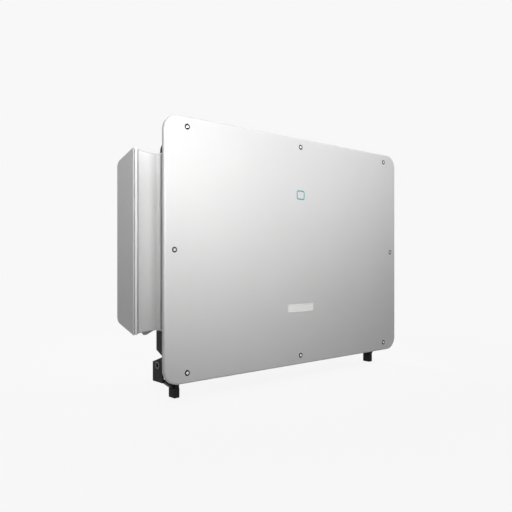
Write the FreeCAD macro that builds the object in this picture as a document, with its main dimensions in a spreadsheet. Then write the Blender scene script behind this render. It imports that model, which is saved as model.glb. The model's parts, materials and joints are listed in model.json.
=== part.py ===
import FreeCAD, Part

import math
import os

import Sketcher

# String inverter, standing on its feet.
# Row frame: X to the right, Y to the back, Z up. The origin is the middle of the footprint, on the floor.
# All lengths are in millimetres.

doc = FreeCAD.newDocument("StringInverter")
sheet = doc.addObject("Spreadsheet::Sheet", "Sizes")

# Each driving size is written once, here.
SIZES = [
    # the whole unit
    ("overall_depth", "361", "screw heads to the back of the side covers"),
    ("foot_drop", "57", "floor to the front cover's bottom edge"),
    ("sheet_metal", "2.5", "sheet of the rear housing"),
    ("fit_gap", "0.1", "clearance around a seated piece"),
    ("running_gap", "0.05", "radial clearance of a turning shaft"),
    ("moving_gap", "1.5", "air gap beside a turning piece"),
    # front cover and what it carries
    ("cover_width", "1136", "front cover, side to side"),
    ("cover_height", "813", "front cover, bottom to top"),
    ("cover_corner", "50", "corner radius of the front cover"),
    ("cover_depth", "14", "front cover, face to rim"),
    ("cover_sheet", "2.5", "front cover wall"),
    ("cover_edge_round", "6.5", "rounding of the front cover's front edge"),
    ("gasket_thickness", "6", "cover gasket, front to back"),
    ("gasket_width", "8", "cover gasket, across its section"),
    ("screw_corner", "80.5", "side edge to the corner screws"),
    ("screw_drop", "32", "top or bottom edge to the corner screws"),
    ("screw_inset", "35", "side edge to the middle screws"),
    ("screw_shank", "4", "cover screw, shank radius"),
    ("screw_head", "5.6", "cover screw, head radius"),
    ("screw_socket", "2.9", "cover screw, across the socket's flats, halved"),
    ("head_proud", "1.5", "cover screw head in front of the cover's face"),
    ("washer_radius", "8.8", "cover screw washer, outer radius"),
    ("washer_recess", "1.2", "depth of the washer's seat in the cover"),
    ("washer_thickness", "1.6", "cover screw washer"),
    ("screw_grip", "14", "cover screw's length inside its boss"),
    ("boss_radius", "10", "screw bosses of the cover and the casing"),
    ("light_drop", "204.5", "cover's top edge to the light ring's centre"),
    ("light_width", "40", "light ring, outside width"),
    ("light_height", "34", "light ring, outside height"),
    ("light_line", "3.2", "light ring, width of its line"),
    ("light_corner", "9", "light ring, outside corner radius"),
    ("light_depth", "1.4", "light ring, depth in the cover"),
    ("plate_drop", "610", "cover's top edge to the name plate's centre"),
    ("plate_width", "128", "name plate, width"),
    ("plate_height", "28", "name plate, height"),
    ("plate_corner", "5", "name plate, corner radius"),
    ("plate_thickness", "1.2", "name plate, thickness"),
    # casing
    ("flange_margin", "18", "cover's edge to the casing flange's edge"),
    ("flange_thickness", "6", "casing flange"),
    ("flange_corner", "36", "casing flange, corner radius"),
    ("casing_side", "62", "cover's side edge to the casing wall"),
    ("casing_top", "48", "cover's top edge to the casing's top wall"),
    ("casing_bottom", "56", "cover's bottom edge to the casing's bottom wall"),
    ("casing_corner", "12", "casing walls, corner radius"),
    ("casing_wall", "4", "casing wall"),
    ("casing_depth", "112", "cover's face to the casing's back"),
    # cooling duct behind the casing
    ("duct_side", "150", "cover's side edge to the duct's side wall"),
    ("duct_depth", "274", "cover's face to the duct's back wall"),
    ("duct_top", "35", "cover's top edge to the duct's roof"),
    ("duct_round", "25", "rounding of the duct's upper back edge"),
    ("duct_sheet", "2", "duct sheet"),
    # fan tray below the duct
    ("tray_side", "135", "cover's side edge to the fan tray"),
    ("tray_bottom", "48", "fan tray's underside above the cover's bottom edge"),
    ("tray_height", "83", "fan tray, bottom to top"),
    ("tray_rake_depth", "34", "fan tray's raked edge, front to back"),
    ("tray_rake_rise", "16", "fan tray's raked edge, rise"),
    ("fan_size", "120", "fan frame, square"),
    ("fan_depth", "38", "fan frame, bottom to top"),
    ("fan_bore", "57", "fan frame, bore radius"),
    ("fan_hub", "24", "impeller hub radius"),
    ("fan_pin", "4", "fan pin radius"),
    ("blade_chord", "30", "impeller blade, chord"),
    ("blade_thickness", "1.8", "impeller blade, thickness"),
    ("grille_thickness", "1.5", "grille plates"),
    # heat sink
    ("sink_side", "18", "duct's side wall to the heat sink"),
    ("sink_bottom", "150", "heat sink above the cover's bottom edge"),
    ("sink_top", "25", "casing's top wall to the heat sink"),
    ("sink_base", "12", "heat sink base plate"),
    ("fin_depth", "78", "heat sink fin, front to back"),
    ("fin_thickness", "2.5", "heat sink fin"),
    # rear housing with its side covers
    ("housing_bottom", "125.5", "cover's bottom edge to the housing's rim"),
    ("housing_top", "63.5", "cover's top edge to the housing's rim"),
    ("housing_front", "245", "cover's face to the housing's rim"),
    ("housing_slant", "17.6", "slant of the housing's top and bottom in degrees"),
    ("housing_round", "25", "housing's back corner radius"),
    ("side_inset", "30", "front cover's side edge to the side cover"),
    ("side_plate", "5", "side cover thickness"),
    ("side_seam", "0.8", "seam between side cover and housing"),
    ("rim_width", "10", "housing's front rim"),
    ("rim_step", "6", "step from the rim down to the scoop"),
    ("scoop_floor", "267.5", "cover's face to the deepest line of the scoop"),
    ("scoop_round", "20", "rounding from the scoop into the neck"),
    ("neck_length", "34", "housing's neck along the duct wall"),
    ("rail_thickness", "6", "hanger rail"),
    ("rail_width", "60", "hanger rail, width"),
    ("rail_height", "420", "hanger rail, height"),
    ("rail_across", "260", "centre line to a hanger rail"),
    ("rail_hole_spread", "320", "hanger rail holes, top to bottom"),
    ("rail_hole", "4.3", "hanger rail, threaded hole radius"),
    # brackets and feet
    ("bracket_front", "62", "cover's face to the corner bracket"),
    ("bracket_depth", "57", "corner bracket, front to back"),
    ("bracket_plate", "6", "corner bracket plate"),
    ("bracket_top", "78", "corner bracket's front top above the cover's bottom edge"),
    ("bracket_low", "3", "corner bracket's plate below the cover's bottom edge"),
    ("bracket_rake", "20", "slant of the corner bracket's top in degrees"),
    ("handle_height", "49", "handle socket above the cover's bottom edge"),
    ("handle_depth", "90", "cover's face to the handle socket"),
    ("handle_hole", "5.1", "handle socket, threaded hole radius"),
    ("handle_boss", "11", "handle socket boss radius"),
    ("foot_inset", "84", "cover's side edge to the foot's centre"),
    ("foot_width", "21", "foot, side to side"),
    ("foot_depth", "34", "foot, front to back"),
    ("foot_height", "30", "foot block"),
    ("foot_chamfer", "4", "foot block's lower edges"),
    ("foot_back", "80", "cover's face to the front foot's centre"),
    ("rear_foot_back", "252", "cover's face to the rear foot's centre"),
    ("rear_foot_side", "35", "rear foot's centre to the duct's side wall"),
    # what passes through the casing's bottom wall
    ("connector_start", "51", "casing wall to the first string connector"),
    ("connector_end", "10", "centre line to the last string connector"),
    ("plus_row", "64", "cover's face to the front connector row"),
    ("minus_row", "93", "cover's face to the rear connector row"),
    ("connector_radius", "8", "string connector body"),
    ("connector_bore", "4", "string connector socket"),
    ("connector_drop", "30", "string connector below the casing"),
    ("knob_row", "34", "cover's face to the switch knobs"),
    ("knob_radius", "15", "switch knob"),
    ("knob_drop", "30", "switch knob below the casing"),
    ("shaft_radius", "5", "switch shaft"),
    ("gland_pitch", "68", "cable gland to cable gland"),
    ("gland_end", "112", "casing wall to the last cable gland"),
    ("gland_row", "64", "cover's face to the cable glands"),
    ("gland_radius", "29", "cable gland nut"),
    ("gland_bore", "19", "cable gland, way through"),
    ("gland_drop", "36", "cable gland below its plate"),
    ("small_gland_end", "53", "casing wall to the signal glands"),
    ("small_gland_radius", "14", "signal gland nut"),
    ("small_gland_bore", "7", "signal gland, way through"),
    # circuit boards
    ("board_thickness", "2.4", "circuit boards"),
    ("board_gap", "16", "casing's back wall to the power board"),
    ("control_gap", "52", "casing's back wall to the control board"),
]
FANS = 5
BLADES = 7
CONNECTORS = 12
SWITCHES = 4
GLANDS = 4
SINK_FINS = 40
HEXAGON_FLAT = math.sqrt(3) / 2


class Size:
    """A number together with the cell formula that it comes from."""

    def __init__(self, value, formula):
        self.value = float(value)
        self.formula = formula

    def __add__(self, other):
        other = as_size(other)
        return Size(self.value + other.value, f"({self.formula} + {other.formula})")

    def __sub__(self, other):
        other = as_size(other)
        return Size(self.value - other.value, f"({self.formula} - {other.formula})")

    def __mul__(self, other):
        other = as_size(other)
        return Size(self.value * other.value, f"({self.formula} * {other.formula})")

    def __truediv__(self, other):
        other = as_size(other)
        return Size(self.value / other.value, f"({self.formula} / {other.formula})")

    def __radd__(self, other):
        return as_size(other) + self

    def __rsub__(self, other):
        return as_size(other) - self

    def __rmul__(self, other):
        return as_size(other) * self

    def __neg__(self):
        return Size(-self.value, f"(-1 * {self.formula})")


def as_size(item):
    return item if isinstance(item, Size) else Size(item, repr(float(item)))


def sine(angle):
    return Size(math.sin(math.radians(angle.value)), f"sin({angle.formula} * 1 deg)")


def cosine(angle):
    return Size(math.cos(math.radians(angle.value)), f"cos({angle.formula} * 1 deg)")


def tangent(angle):
    return Size(math.tan(math.radians(angle.value)), f"tan({angle.formula} * 1 deg)")


class Dimensions:
    """Every named size, as an attribute."""


dim = Dimensions()
for row, (alias, number, meaning) in enumerate(SIZES, start=1):
    sheet.set(f"A{row}", meaning)
    sheet.set(f"B{row}", number)
    sheet.setAlias(f"B{row}", alias)
    setattr(dim, alias, Size(number, f"Sizes.{alias}"))
doc.recompute()

NODES = []


def subpart(obj, label):
    """Name an object as a finished sub-part."""
    obj.Label = label
    NODES.append(obj)
    return obj


def bind(obj, path, size):
    obj.setExpression(path, as_size(size).formula)


def place(obj, x=0, y=0, z=0):
    """Tie an object's position to the sheet."""
    for axis, size in zip("xyz", (x, y, z)):
        if isinstance(size, Size) or size:
            bind(obj, f"Placement.Base.{axis}", size)


def add(kind, name):
    return doc.addObject(kind, name)


def slab(name, x_span, y_span, z_span):
    """A box from its low and high bound along each axis."""
    box = add("Part::Box", name)
    for side, (low, high) in zip(("Length", "Width", "Height"), (x_span, y_span, z_span)):
        bind(box, side, as_size(high) - low)
    place(box, x_span[0], y_span[0], z_span[0])
    return box


TURNS = {
    "X": FreeCAD.Rotation(FreeCAD.Vector(0, 1, 0), 90),
    "Y": FreeCAD.Rotation(FreeCAD.Vector(1, 0, 0), -90),
    "Z": FreeCAD.Rotation(),
}


def rod(name, axis, radius, span, x=0, y=0, z=0):
    """A cylinder along an axis, between two bounds on that axis."""
    cylinder = add("Part::Cylinder", name)
    bind(cylinder, "Radius", radius)
    bind(cylinder, "Height", as_size(span[1]) - span[0])
    cylinder.Placement.Rotation = TURNS[axis]
    centre = {"X": x, "Y": y, "Z": z}
    centre[axis] = span[0]
    place(cylinder, centre["X"], centre["Y"], centre["Z"])
    return cylinder


def prism(name, sides, axis, reach, span, x=0, y=0, z=0):
    """A prism of equal sides along an axis, measured from that axis to a corner."""
    block = add("Part::Prism", name)
    block.Polygon = sides
    bind(block, "Circumradius", reach)
    bind(block, "Height", as_size(span[1]) - span[0])
    block.Placement.Rotation = TURNS[axis]
    centre = {"X": x, "Y": y, "Z": z}
    centre[axis] = span[0]
    place(block, centre["X"], centre["Y"], centre["Z"])
    return block


def cut(name, base, tool):
    result = add("Part::Cut", name)
    result.Base = base
    result.Tool = tool
    return result


def fuse(name, shapes):
    result = add("Part::MultiFuse", name)
    result.Shapes = shapes
    result.Refine = True
    return result


def common(name, base, tool):
    result = add("Part::Common", name)
    result.Base = base
    result.Tool = tool
    return result


def group(name, shapes):
    """Separate solids that share one sub-part."""
    result = add("Part::Compound", name)
    result.Links = shapes
    return result


def copies(name, source, places):
    """One solid repeated at each place, as links to it."""
    links = []
    for number, (x, y, z) in enumerate(places, start=1):
        link = add("App::Link", f"{name}_{number}")
        link.LinkedObject = source
        link.LinkTransform = True
        place(link, x, y, z)
        links.append(link)
    return group(name, links)


def body(name, x=0, y=0, z=0):
    result = add("PartDesign::Body", name)
    place(result, x, y, z)
    return result


def sketch(owner, plane, name, offset=0):
    """A sketch on one of its body's own planes, moved along that plane's normal."""
    result = owner.newObject("Sketcher::SketchObject", name)
    support = [item for item in owner.Origin.OriginFeatures if item.Role == plane][0]
    result.AttachmentSupport = [(support, "")]
    result.MapMode = "FlatFace"
    if isinstance(offset, Size) or offset:
        bind(result, "AttachmentOffset.Base.z", offset)
    return result


def point(x, y):
    return FreeCAD.Vector(as_size(x).value, as_size(y).value, 0)


def constrain(drawing, rules):
    """Add constraints and tie those with a size to the sheet."""
    first = drawing.ConstraintCount
    drawing.addConstraint([rule for rule, size in rules])
    for number, (rule, size) in enumerate(rules):
        if isinstance(size, Size):
            bind(drawing, f"Constraints[{first + number}]", size)


def fixed(geometry, end, x, y):
    """The two rules that hold a point of the sketch at x, y."""
    return [
        (Sketcher.Constraint("DistanceX", -1, 1, geometry, end, as_size(x).value), as_size(x)),
        (Sketcher.Constraint("DistanceY", -1, 1, geometry, end, as_size(y).value), as_size(y)),
    ]


def joined(first, first_end, second, second_end):
    return (Sketcher.Constraint("Coincident", first, first_end, second, second_end), None)


def draw_polygon(drawing, corners):
    """A closed outline of straight sides."""
    start = drawing.GeometryCount
    count = len(corners)
    sides = []
    rules = []
    for number, corner in enumerate(corners):
        following = (number + 1) % count
        sides.append(Part.LineSegment(point(*corner), point(*corners[following])))
        rules.append(joined(start + number, 2, start + following, 1))
        rules.extend(fixed(start + number, 1, *corner))
    drawing.addGeometry(sides)
    constrain(drawing, rules)


def draw_hexagon(drawing, x, y, reach):
    """A hexagon with two of its corners on the first direction, measured to a corner."""
    half = reach / 2
    flat = reach * HEXAGON_FLAT
    corners = [(reach, 0), (half, flat), (-half, flat), (-reach, 0), (-half, -flat), (half, -flat)]
    draw_polygon(drawing, [(x + across, y + up) for across, up in corners])


def draw_circle(drawing, x, y, radius):
    number = drawing.GeometryCount
    drawing.addGeometry(Part.Circle(point(x, y), FreeCAD.Vector(0, 0, 1), as_size(radius).value))
    rules = fixed(number, 3, x, y)
    rules.append((Sketcher.Constraint("Radius", number, as_size(radius).value), as_size(radius)))
    constrain(drawing, rules)


def draw_path(drawing, nodes):
    """A closed outline of straight and round sides.

    Each node is (x, y) for a straight side to the next node,
    or (x, y, centre_x, centre_y, turn) for an arc to it, turn +1 when it runs anticlockwise.
    """
    start = drawing.GeometryCount
    count = len(nodes)
    sides = []
    rules = []
    starts = []
    ends = []
    for number, node in enumerate(nodes):
        following = nodes[(number + 1) % count]
        here = point(*node[:2])
        there = point(*following[:2])
        if len(node) == 2:
            sides.append(Part.LineSegment(here, there))
            starts.append(1)
            ends.append(2)
            continue
        middle = point(*node[2:4])
        bounds = (here, there) if node[4] > 0 else (there, here)
        low = math.atan2(bounds[0].y - middle.y, bounds[0].x - middle.x)
        high = math.atan2(bounds[1].y - middle.y, bounds[1].x - middle.x)
        circle = Part.Circle(middle, FreeCAD.Vector(0, 0, 1), (here - middle).Length)
        sides.append(Part.ArcOfCircle(circle, low, high if high > low else high + 2 * math.pi))
        starts.append(1 if node[4] > 0 else 2)
        ends.append(2 if node[4] > 0 else 1)
    for number, node in enumerate(nodes):
        following = (number + 1) % count
        rules.append(joined(start + number, ends[number], start + following, starts[following]))
        rules.extend(fixed(start + number, starts[number], *node[:2]))
        if len(node) > 2:
            centre_x = as_size(node[2])
            rules.append(
                (Sketcher.Constraint("DistanceX", -1, 1, start + number, 3, centre_x.value), centre_x)
            )
    drawing.addGeometry(sides)
    constrain(drawing, rules)


def round_rectangle(x_low, x_high, y_low, y_high, radius):
    """The nodes of a rectangle with round corners, for draw_path."""
    left = x_low + radius
    right = x_high - radius
    low = y_low + radius
    high = y_high - radius
    return [
        (left, y_low),
        (right, y_low, right, low, 1),
        (x_high, low),
        (x_high, high, right, high, 1),
        (right, y_high),
        (left, y_high, left, high, 1),
        (x_low, high),
        (x_low, low, left, low, 1),
    ]


def pad(owner, drawing, name, length, reverse=False, symmetric=False):
    feature = owner.newObject("PartDesign::Pad", name)
    feature.Profile = drawing
    bind(feature, "Length", length)
    feature.Reversed = reverse
    feature.Midplane = symmetric
    return feature


def pocket(owner, drawing, name, length, reverse=False, symmetric=False):
    feature = owner.newObject("PartDesign::Pocket", name)
    feature.Profile = drawing
    bind(feature, "Length", length)
    feature.Reversed = reverse
    feature.Midplane = symmetric
    return feature


def edges_where(feature, test):
    """The names of a feature's edges whose every corner passes the test."""
    names = []
    for number, edge in enumerate(feature.Shape.Edges, start=1):
        if all(test(vertex.Point) for vertex in edge.Vertexes):
            names.append(f"Edge{number}")
    return names


def dress(owner, kind, name, base, test, size):
    """A fillet or chamfer on the edges that pass the test."""
    doc.recompute()
    feature = owner.newObject(f"PartDesign::{kind}", name)
    feature.Base = (base, edges_where(base, test))
    bind(feature, "Radius" if kind == "Fillet" else "Size", size)
    return feature


def near(first, second):
    return abs(as_size(first).value - as_size(second).value) < 0.01


# Places along the two main directions, worked out from the driving sizes.


def behind(distance):
    """Y of a place that lies this far behind the front cover's face."""
    return distance + dim.head_proud - dim.overall_depth / 2


def above(height):
    """Z of a place at this height over the front cover's bottom edge."""
    return height + dim.foot_drop


def inset(distance):
    """X of a place on the right that lies this far in from the front cover's side edge."""
    return dim.cover_width / 2 - distance


face = behind(as_size(0))
cover_inside = behind(dim.cover_sheet)
cover_rim = behind(dim.cover_depth)
cover_low = above(as_size(0))
cover_high = above(dim.cover_height)
flange_face = cover_inside + dim.gasket_thickness
flange_back = flange_face + dim.flange_thickness
casing_x = inset(dim.casing_side)
casing_low = above(dim.casing_bottom)
casing_high = cover_high - dim.casing_top
casing_back = behind(dim.casing_depth)
casing_floor = casing_low + dim.casing_wall
casing_ceiling = casing_high - dim.casing_wall
casing_inside = casing_back - dim.casing_wall
duct_x = inset(dim.duct_side)
duct_back = behind(dim.duct_depth)
tray_x = inset(dim.tray_side)
tray_low = above(dim.tray_bottom)
tray_high = tray_low + dim.tray_height
duct_high = cover_high - dim.duct_top
sink_x = duct_x - dim.sink_side
sink_low = above(dim.sink_bottom)
sink_high = casing_high - dim.sink_top
sink_back = casing_back + dim.sink_base
fin_back = sink_back + dim.fin_depth
rear = dim.overall_depth / 2
housing_x = inset(dim.side_inset + dim.side_plate + dim.side_seam)
housing_back = rear - dim.rail_thickness
housing_rim = behind(dim.housing_front)
housing_low = above(dim.housing_bottom)
housing_high = cover_high - dim.housing_top
housing_mid = (housing_low + housing_high) / 2
housing_half = (housing_high - housing_low) / 2

SCREW_PLACES = [
    (side * inset(dim.screw_corner), end)
    for side in (-1, 1)
    for end in (cover_low + dim.screw_drop, cover_high - dim.screw_drop)
]
SCREW_PLACES += [(as_size(0), cover_low + dim.screw_drop), (as_size(0), cover_high - dim.screw_drop)]
SCREW_PLACES += [(side * inset(dim.screw_inset), cover_low + dim.cover_height / 2) for side in (-1, 1)]
light_z = cover_high - dim.light_drop
plate_z = cover_high - dim.plate_drop
washer_seat = face + dim.washer_recess


def rectangle_about(x, z, width, height, radius):
    return round_rectangle(x - width / 2, x + width / 2, z - height / 2, z + height / 2, radius)


def light_outline(grow):
    """The light ring's outer and inner outlines, each grown into its surroundings."""
    outer = rectangle_about(
        as_size(0),
        light_z,
        dim.light_width + 2 * grow,
        dim.light_height + 2 * grow,
        dim.light_corner + grow,
    )
    shrink = dim.light_line + grow
    inner = rectangle_about(
        as_size(0),
        light_z,
        dim.light_width - 2 * shrink,
        dim.light_height - 2 * shrink,
        dim.light_corner - shrink,
    )
    return outer, inner


PEG_ACROSS = dim.light_width / 2 - dim.light_line / 2
PEG_RADIUS = dim.light_line / 2 - 2 * dim.fit_gap
LIGHT_PEGS = [(side * PEG_ACROSS, light_z) for side in (-1, 1)]


# ---------------------------------------------------------------- front cover


def make_front_cover():
    """A shallow pan with rounded front edges, screw bosses and seats for its trim."""
    cover = body("FrontCover")
    outline = sketch(cover, "XZ_Plane", "CoverOutline", -cover_rim)
    half = dim.cover_width / 2
    draw_path(outline, round_rectangle(-half, half, cover_low, cover_high, dim.cover_corner))
    blank = pad(cover, outline, "CoverBlank", dim.cover_depth)
    rounded = dress(
        cover, "Fillet", "CoverEdge", blank, lambda place: near(place.y, face), dim.cover_edge_round
    )
    cover.Tip = rounded
    inner = sketch(cover, "XZ_Plane", "CoverInside", -cover_rim)
    wall = dim.cover_sheet
    draw_path(
        inner,
        round_rectangle(wall - half, half - wall, cover_low + wall, cover_high - wall, dim.cover_corner - wall),
    )
    pocket(cover, inner, "CoverHollow", dim.cover_depth - wall, reverse=True)
    bosses = sketch(cover, "XZ_Plane", "CoverBossCircles", -flange_face)
    for x, z in SCREW_PLACES:
        draw_circle(bosses, x, z, dim.boss_radius)
    pad(cover, bosses, "CoverBosses", dim.gasket_thickness)
    holes = sketch(cover, "XZ_Plane", "CoverHoleCircles", -face)
    for x, z in SCREW_PLACES:
        draw_circle(holes, x, z, dim.screw_shank + dim.fit_gap)
    for x, z in LIGHT_PEGS:
        draw_circle(holes, x, z, PEG_RADIUS + dim.fit_gap)
    pocket(cover, holes, "CoverHoles", flange_face - face)
    seats = sketch(cover, "XZ_Plane", "WasherSeatCircles", -face)
    for x, z in SCREW_PLACES:
        draw_circle(seats, x, z, dim.washer_radius + dim.fit_gap)
    pocket(cover, seats, "WasherSeats", dim.washer_recess)
    groove = sketch(cover, "XZ_Plane", "LightGrooveOutline", -face)
    for outline in light_outline(dim.fit_gap):
        draw_path(groove, outline)
    pocket(cover, groove, "LightGroove", dim.light_depth)
    recess = sketch(cover, "XZ_Plane", "PlateRecessOutline", -face)
    draw_path(
        recess,
        rectangle_about(
            as_size(0),
            plate_z,
            dim.plate_width + 2 * dim.fit_gap,
            dim.plate_height + 2 * dim.fit_gap,
            dim.plate_corner + dim.fit_gap,
        ),
    )
    pocket(cover, recess, "PlateRecess", dim.plate_thickness / 2)
    return subpart(cover, "front_cover")


def make_cover_gasket():
    gasket = body("CoverGasket")
    ring = sketch(gasket, "XZ_Plane", "GasketRing", -flange_face)
    lap = dim.gasket_width * 0.75
    for grow in (lap, lap - dim.gasket_width):
        draw_path(
            ring,
            round_rectangle(
                -(casing_x + grow),
                casing_x + grow,
                casing_low - grow,
                casing_high + grow,
                dim.casing_corner + grow,
            ),
        )
    pad(gasket, ring, "Gasket", dim.gasket_thickness)
    return subpart(gasket, "cover_gasket")


def make_cover_screws():
    """Hexagon-socket screws with their dark washers, one set for each boss."""
    screw = body("CoverScrew")
    profile = sketch(screw, "YZ_Plane", "ScrewProfile")
    tip = flange_face + dim.screw_grip
    top = face - dim.head_proud
    under = washer_seat - dim.washer_thickness
    draw_polygon(
        profile,
        [
            (top, 0),
            (top, dim.screw_head - 1),
            (top + 1, dim.screw_head),
            (under, dim.screw_head),
            (under, dim.screw_shank),
            (tip, dim.screw_shank),
            (tip, 0),
        ],
    )
    turned = screw.newObject("PartDesign::Revolution", "ScrewTurned")
    turned.Profile = profile
    turned.ReferenceAxis = (profile, ["H_Axis"])
    turned.Angle = 360
    socket = sketch(screw, "XZ_Plane", "SocketHexagon", -top)
    draw_hexagon(socket, as_size(0), as_size(0), dim.screw_socket / HEXAGON_FLAT)
    pocket(screw, socket, "Socket", dim.head_proud)
    places = [(x, 0, z) for x, z in SCREW_PLACES]
    subpart(copies("CoverScrews", screw, places), "cover_screws")
    ring = rod("WasherRing", "Y", dim.washer_radius, (under, washer_seat))
    way = rod("WasherWay", "Y", dim.screw_shank + dim.fit_gap, (under - 1, washer_seat + 1))
    washer = cut("Washer", ring, way)
    subpart(copies("CoverWashers", washer, places), "cover_screw_washers")


def make_light_ring():
    """A light guide set flush in the cover, with two pegs that reach the indicator board."""
    guide = body("LightRing")
    ring = sketch(guide, "XZ_Plane", "RingOutline", -(face + dim.light_depth))
    for outline in light_outline(as_size(0)):
        draw_path(ring, outline)
    pad(guide, ring, "Ring", dim.light_depth)
    pegs = sketch(guide, "XZ_Plane", "PegCircles", -(face + dim.light_depth))
    for x, z in LIGHT_PEGS:
        draw_circle(pegs, x, z, PEG_RADIUS)
    pad(guide, pegs, "Pegs", board_face - face - dim.light_depth, reverse=True)
    return subpart(guide, "light_ring")


board_face = cover_inside + 2
BOARD_MARGIN = 8


def make_indicator_board():
    """The lamp board behind the light ring, held off the cover by its own spacers."""
    half_width = dim.light_width / 2 + BOARD_MARGIN
    half_height = dim.light_height / 2 + BOARD_MARGIN
    plate = slab(
        "IndicatorPlate",
        (-half_width, half_width),
        (board_face, board_face + dim.board_thickness),
        (light_z - half_height, light_z + half_height),
    )
    spacers = [
        rod(
            f"IndicatorSpacer_{number}",
            "Y",
            3,
            (cover_inside, board_face),
            side * (half_width - 4),
            0,
            light_z + level * (half_height - 4),
        )
        for number, (side, level) in enumerate([(-1, -1), (1, -1), (-1, 1), (1, 1)])
    ]
    return subpart(fuse("IndicatorBoard", [plate] + spacers), "indicator_board")


def make_name_plate():
    """A bare plate, half sunk in its recess."""
    plate = body("NamePlate")
    outline = sketch(plate, "XZ_Plane", "PlateOutline", -(face + dim.plate_thickness / 2))
    draw_path(
        outline,
        rectangle_about(as_size(0), plate_z, dim.plate_width, dim.plate_height, dim.plate_corner),
    )
    pad(plate, outline, "Plate", dim.plate_thickness)
    return subpart(plate, "name_plate")


make_front_cover()
make_cover_gasket()
make_cover_screws()
make_light_ring()
make_indicator_board()
make_name_plate()


# ---------------------------------------------------------------- casing


def spread(count, pitch, start):
    """Places in a row, from its first one on."""
    return [start + number * pitch for number in range(count)]


connector_start = dim.connector_start - casing_x
connector_pitch = (dim.connector_end - connector_start) / (CONNECTORS - 1)
CONNECTOR_X = spread(CONNECTORS, connector_pitch, connector_start)
PER_SWITCH = CONNECTORS // SWITCHES
KNOB_X = [
    CONNECTOR_X[number * PER_SWITCH] + connector_pitch * ((PER_SWITCH - 1) / 2)
    for number in range(SWITCHES)
]
gland_start = casing_x - dim.gland_end - dim.gland_pitch * (GLANDS - 1)
GLAND_X = spread(GLANDS, dim.gland_pitch, gland_start)
plus_y = behind(dim.plus_row)
minus_y = behind(dim.minus_row)
knob_y = behind(dim.knob_row)
gland_y = behind(dim.gland_row)
gland_middle = gland_start + dim.gland_pitch * ((GLANDS - 1) / 2)
GLAND_PLATE_HALF = dim.gland_pitch * (GLANDS / 2) + 8
GLAND_PLATE_REACH = dim.gland_radius + 8
WINDOW_LIP = 12
GLAND_ROOM = 5
EARTH_INSET = 22
SMALL_GLANDS = [
    (casing_x - dim.small_gland_end, gland_y + side * (dim.small_gland_radius + 6))
    for side in (-1, 1)
]
VENT = (gland_middle - GLAND_PLATE_HALF - 16, knob_y)
EARTH_X = EARTH_INSET - casing_x
connector_neck = dim.connector_radius - 1.5
CONNECTOR_HOLES = [(x, y) for x in CONNECTOR_X for y in (plus_y, minus_y)]
WALL_HOLES = (
    [(x, knob_y, dim.shaft_radius + 2) for x in KNOB_X]
    + [(x, y, dim.small_gland_bore + 3 + dim.fit_gap) for x, y in SMALL_GLANDS]
    + [(x, gland_y, dim.gland_bore + GLAND_ROOM) for x in GLAND_X]
    + [(VENT[0], VENT[1], 5 + dim.fit_gap)]
    + [(EARTH_X, knob_y, 5 + dim.fit_gap)]
)


def casing_outline(grow):
    return round_rectangle(
        -(casing_x + grow),
        casing_x + grow,
        casing_low - grow,
        casing_high + grow,
        dim.casing_corner + grow,
    )


def make_casing():
    """A deep tub, open at the front and below, whose walls run into the flange."""
    casing = body("Casing")
    walls = sketch(casing, "XZ_Plane", "CasingOutline", -casing_back)
    draw_path(walls, casing_outline(as_size(0)))
    pad(casing, walls, "CasingBlank", casing_back - flange_face)
    inner = sketch(casing, "XZ_Plane", "CasingInside", -flange_face)
    draw_path(inner, casing_outline(-dim.casing_wall))
    pocket(casing, inner, "CasingHollow", casing_inside - flange_face)
    window = sketch(casing, "XZ_Plane", "SinkWindow", -casing_inside)
    half = sink_x - WINDOW_LIP
    draw_path(
        window,
        round_rectangle(-half, half, sink_low + WINDOW_LIP, sink_high - WINDOW_LIP, as_size(12)),
    )
    pocket(casing, window, "SinkOpening", dim.casing_wall)
    slot = sketch(casing, "XY_Plane", "FloorSlot", casing_low - 1)
    draw_polygon(slot, floor_outline())
    pocket(casing, slot, "FloorOpening", dim.casing_wall + 1, reverse=True)
    return subpart(casing, "casing")


def make_casing_flange():
    """The frame welded round the casing's mouth, with a threaded boss behind each cover screw."""
    flange = body("CasingFlange")
    rim = sketch(flange, "XZ_Plane", "FlangeOutline", -flange_back)
    flange_x = inset(dim.flange_margin)
    draw_path(
        rim,
        round_rectangle(
            -flange_x,
            flange_x,
            cover_low + dim.flange_margin,
            cover_high - dim.flange_margin,
            dim.flange_corner,
        ),
    )
    pad(flange, rim, "Flange", dim.flange_thickness)
    screw_end = flange_face + dim.screw_grip
    bosses = sketch(flange, "XZ_Plane", "BossCircles", -screw_end)
    for x, z in SCREW_PLACES:
        draw_circle(bosses, x, z, dim.boss_radius)
    pad(flange, bosses, "Bosses", dim.screw_grip - dim.flange_thickness)
    mouth = sketch(flange, "XZ_Plane", "FlangeMouth", -flange_face)
    draw_path(mouth, casing_outline(as_size(0)))
    pocket(flange, mouth, "FlangeOpening", dim.screw_grip)
    holes = sketch(flange, "XZ_Plane", "ThreadCircles", -flange_face)
    for x, z in SCREW_PLACES:
        draw_circle(holes, x, z, dim.screw_shank + dim.fit_gap)
    pocket(flange, holes, "Threads", dim.screw_grip)
    return subpart(flange, "casing_flange")


def floor_outline():
    """The casing's floor plate, and the opening that it closes."""
    half = casing_x - dim.casing_corner
    return [
        (-half, flange_back),
        (half, flange_back),
        (half, casing_inside),
        (-half, casing_inside),
    ]


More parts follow.
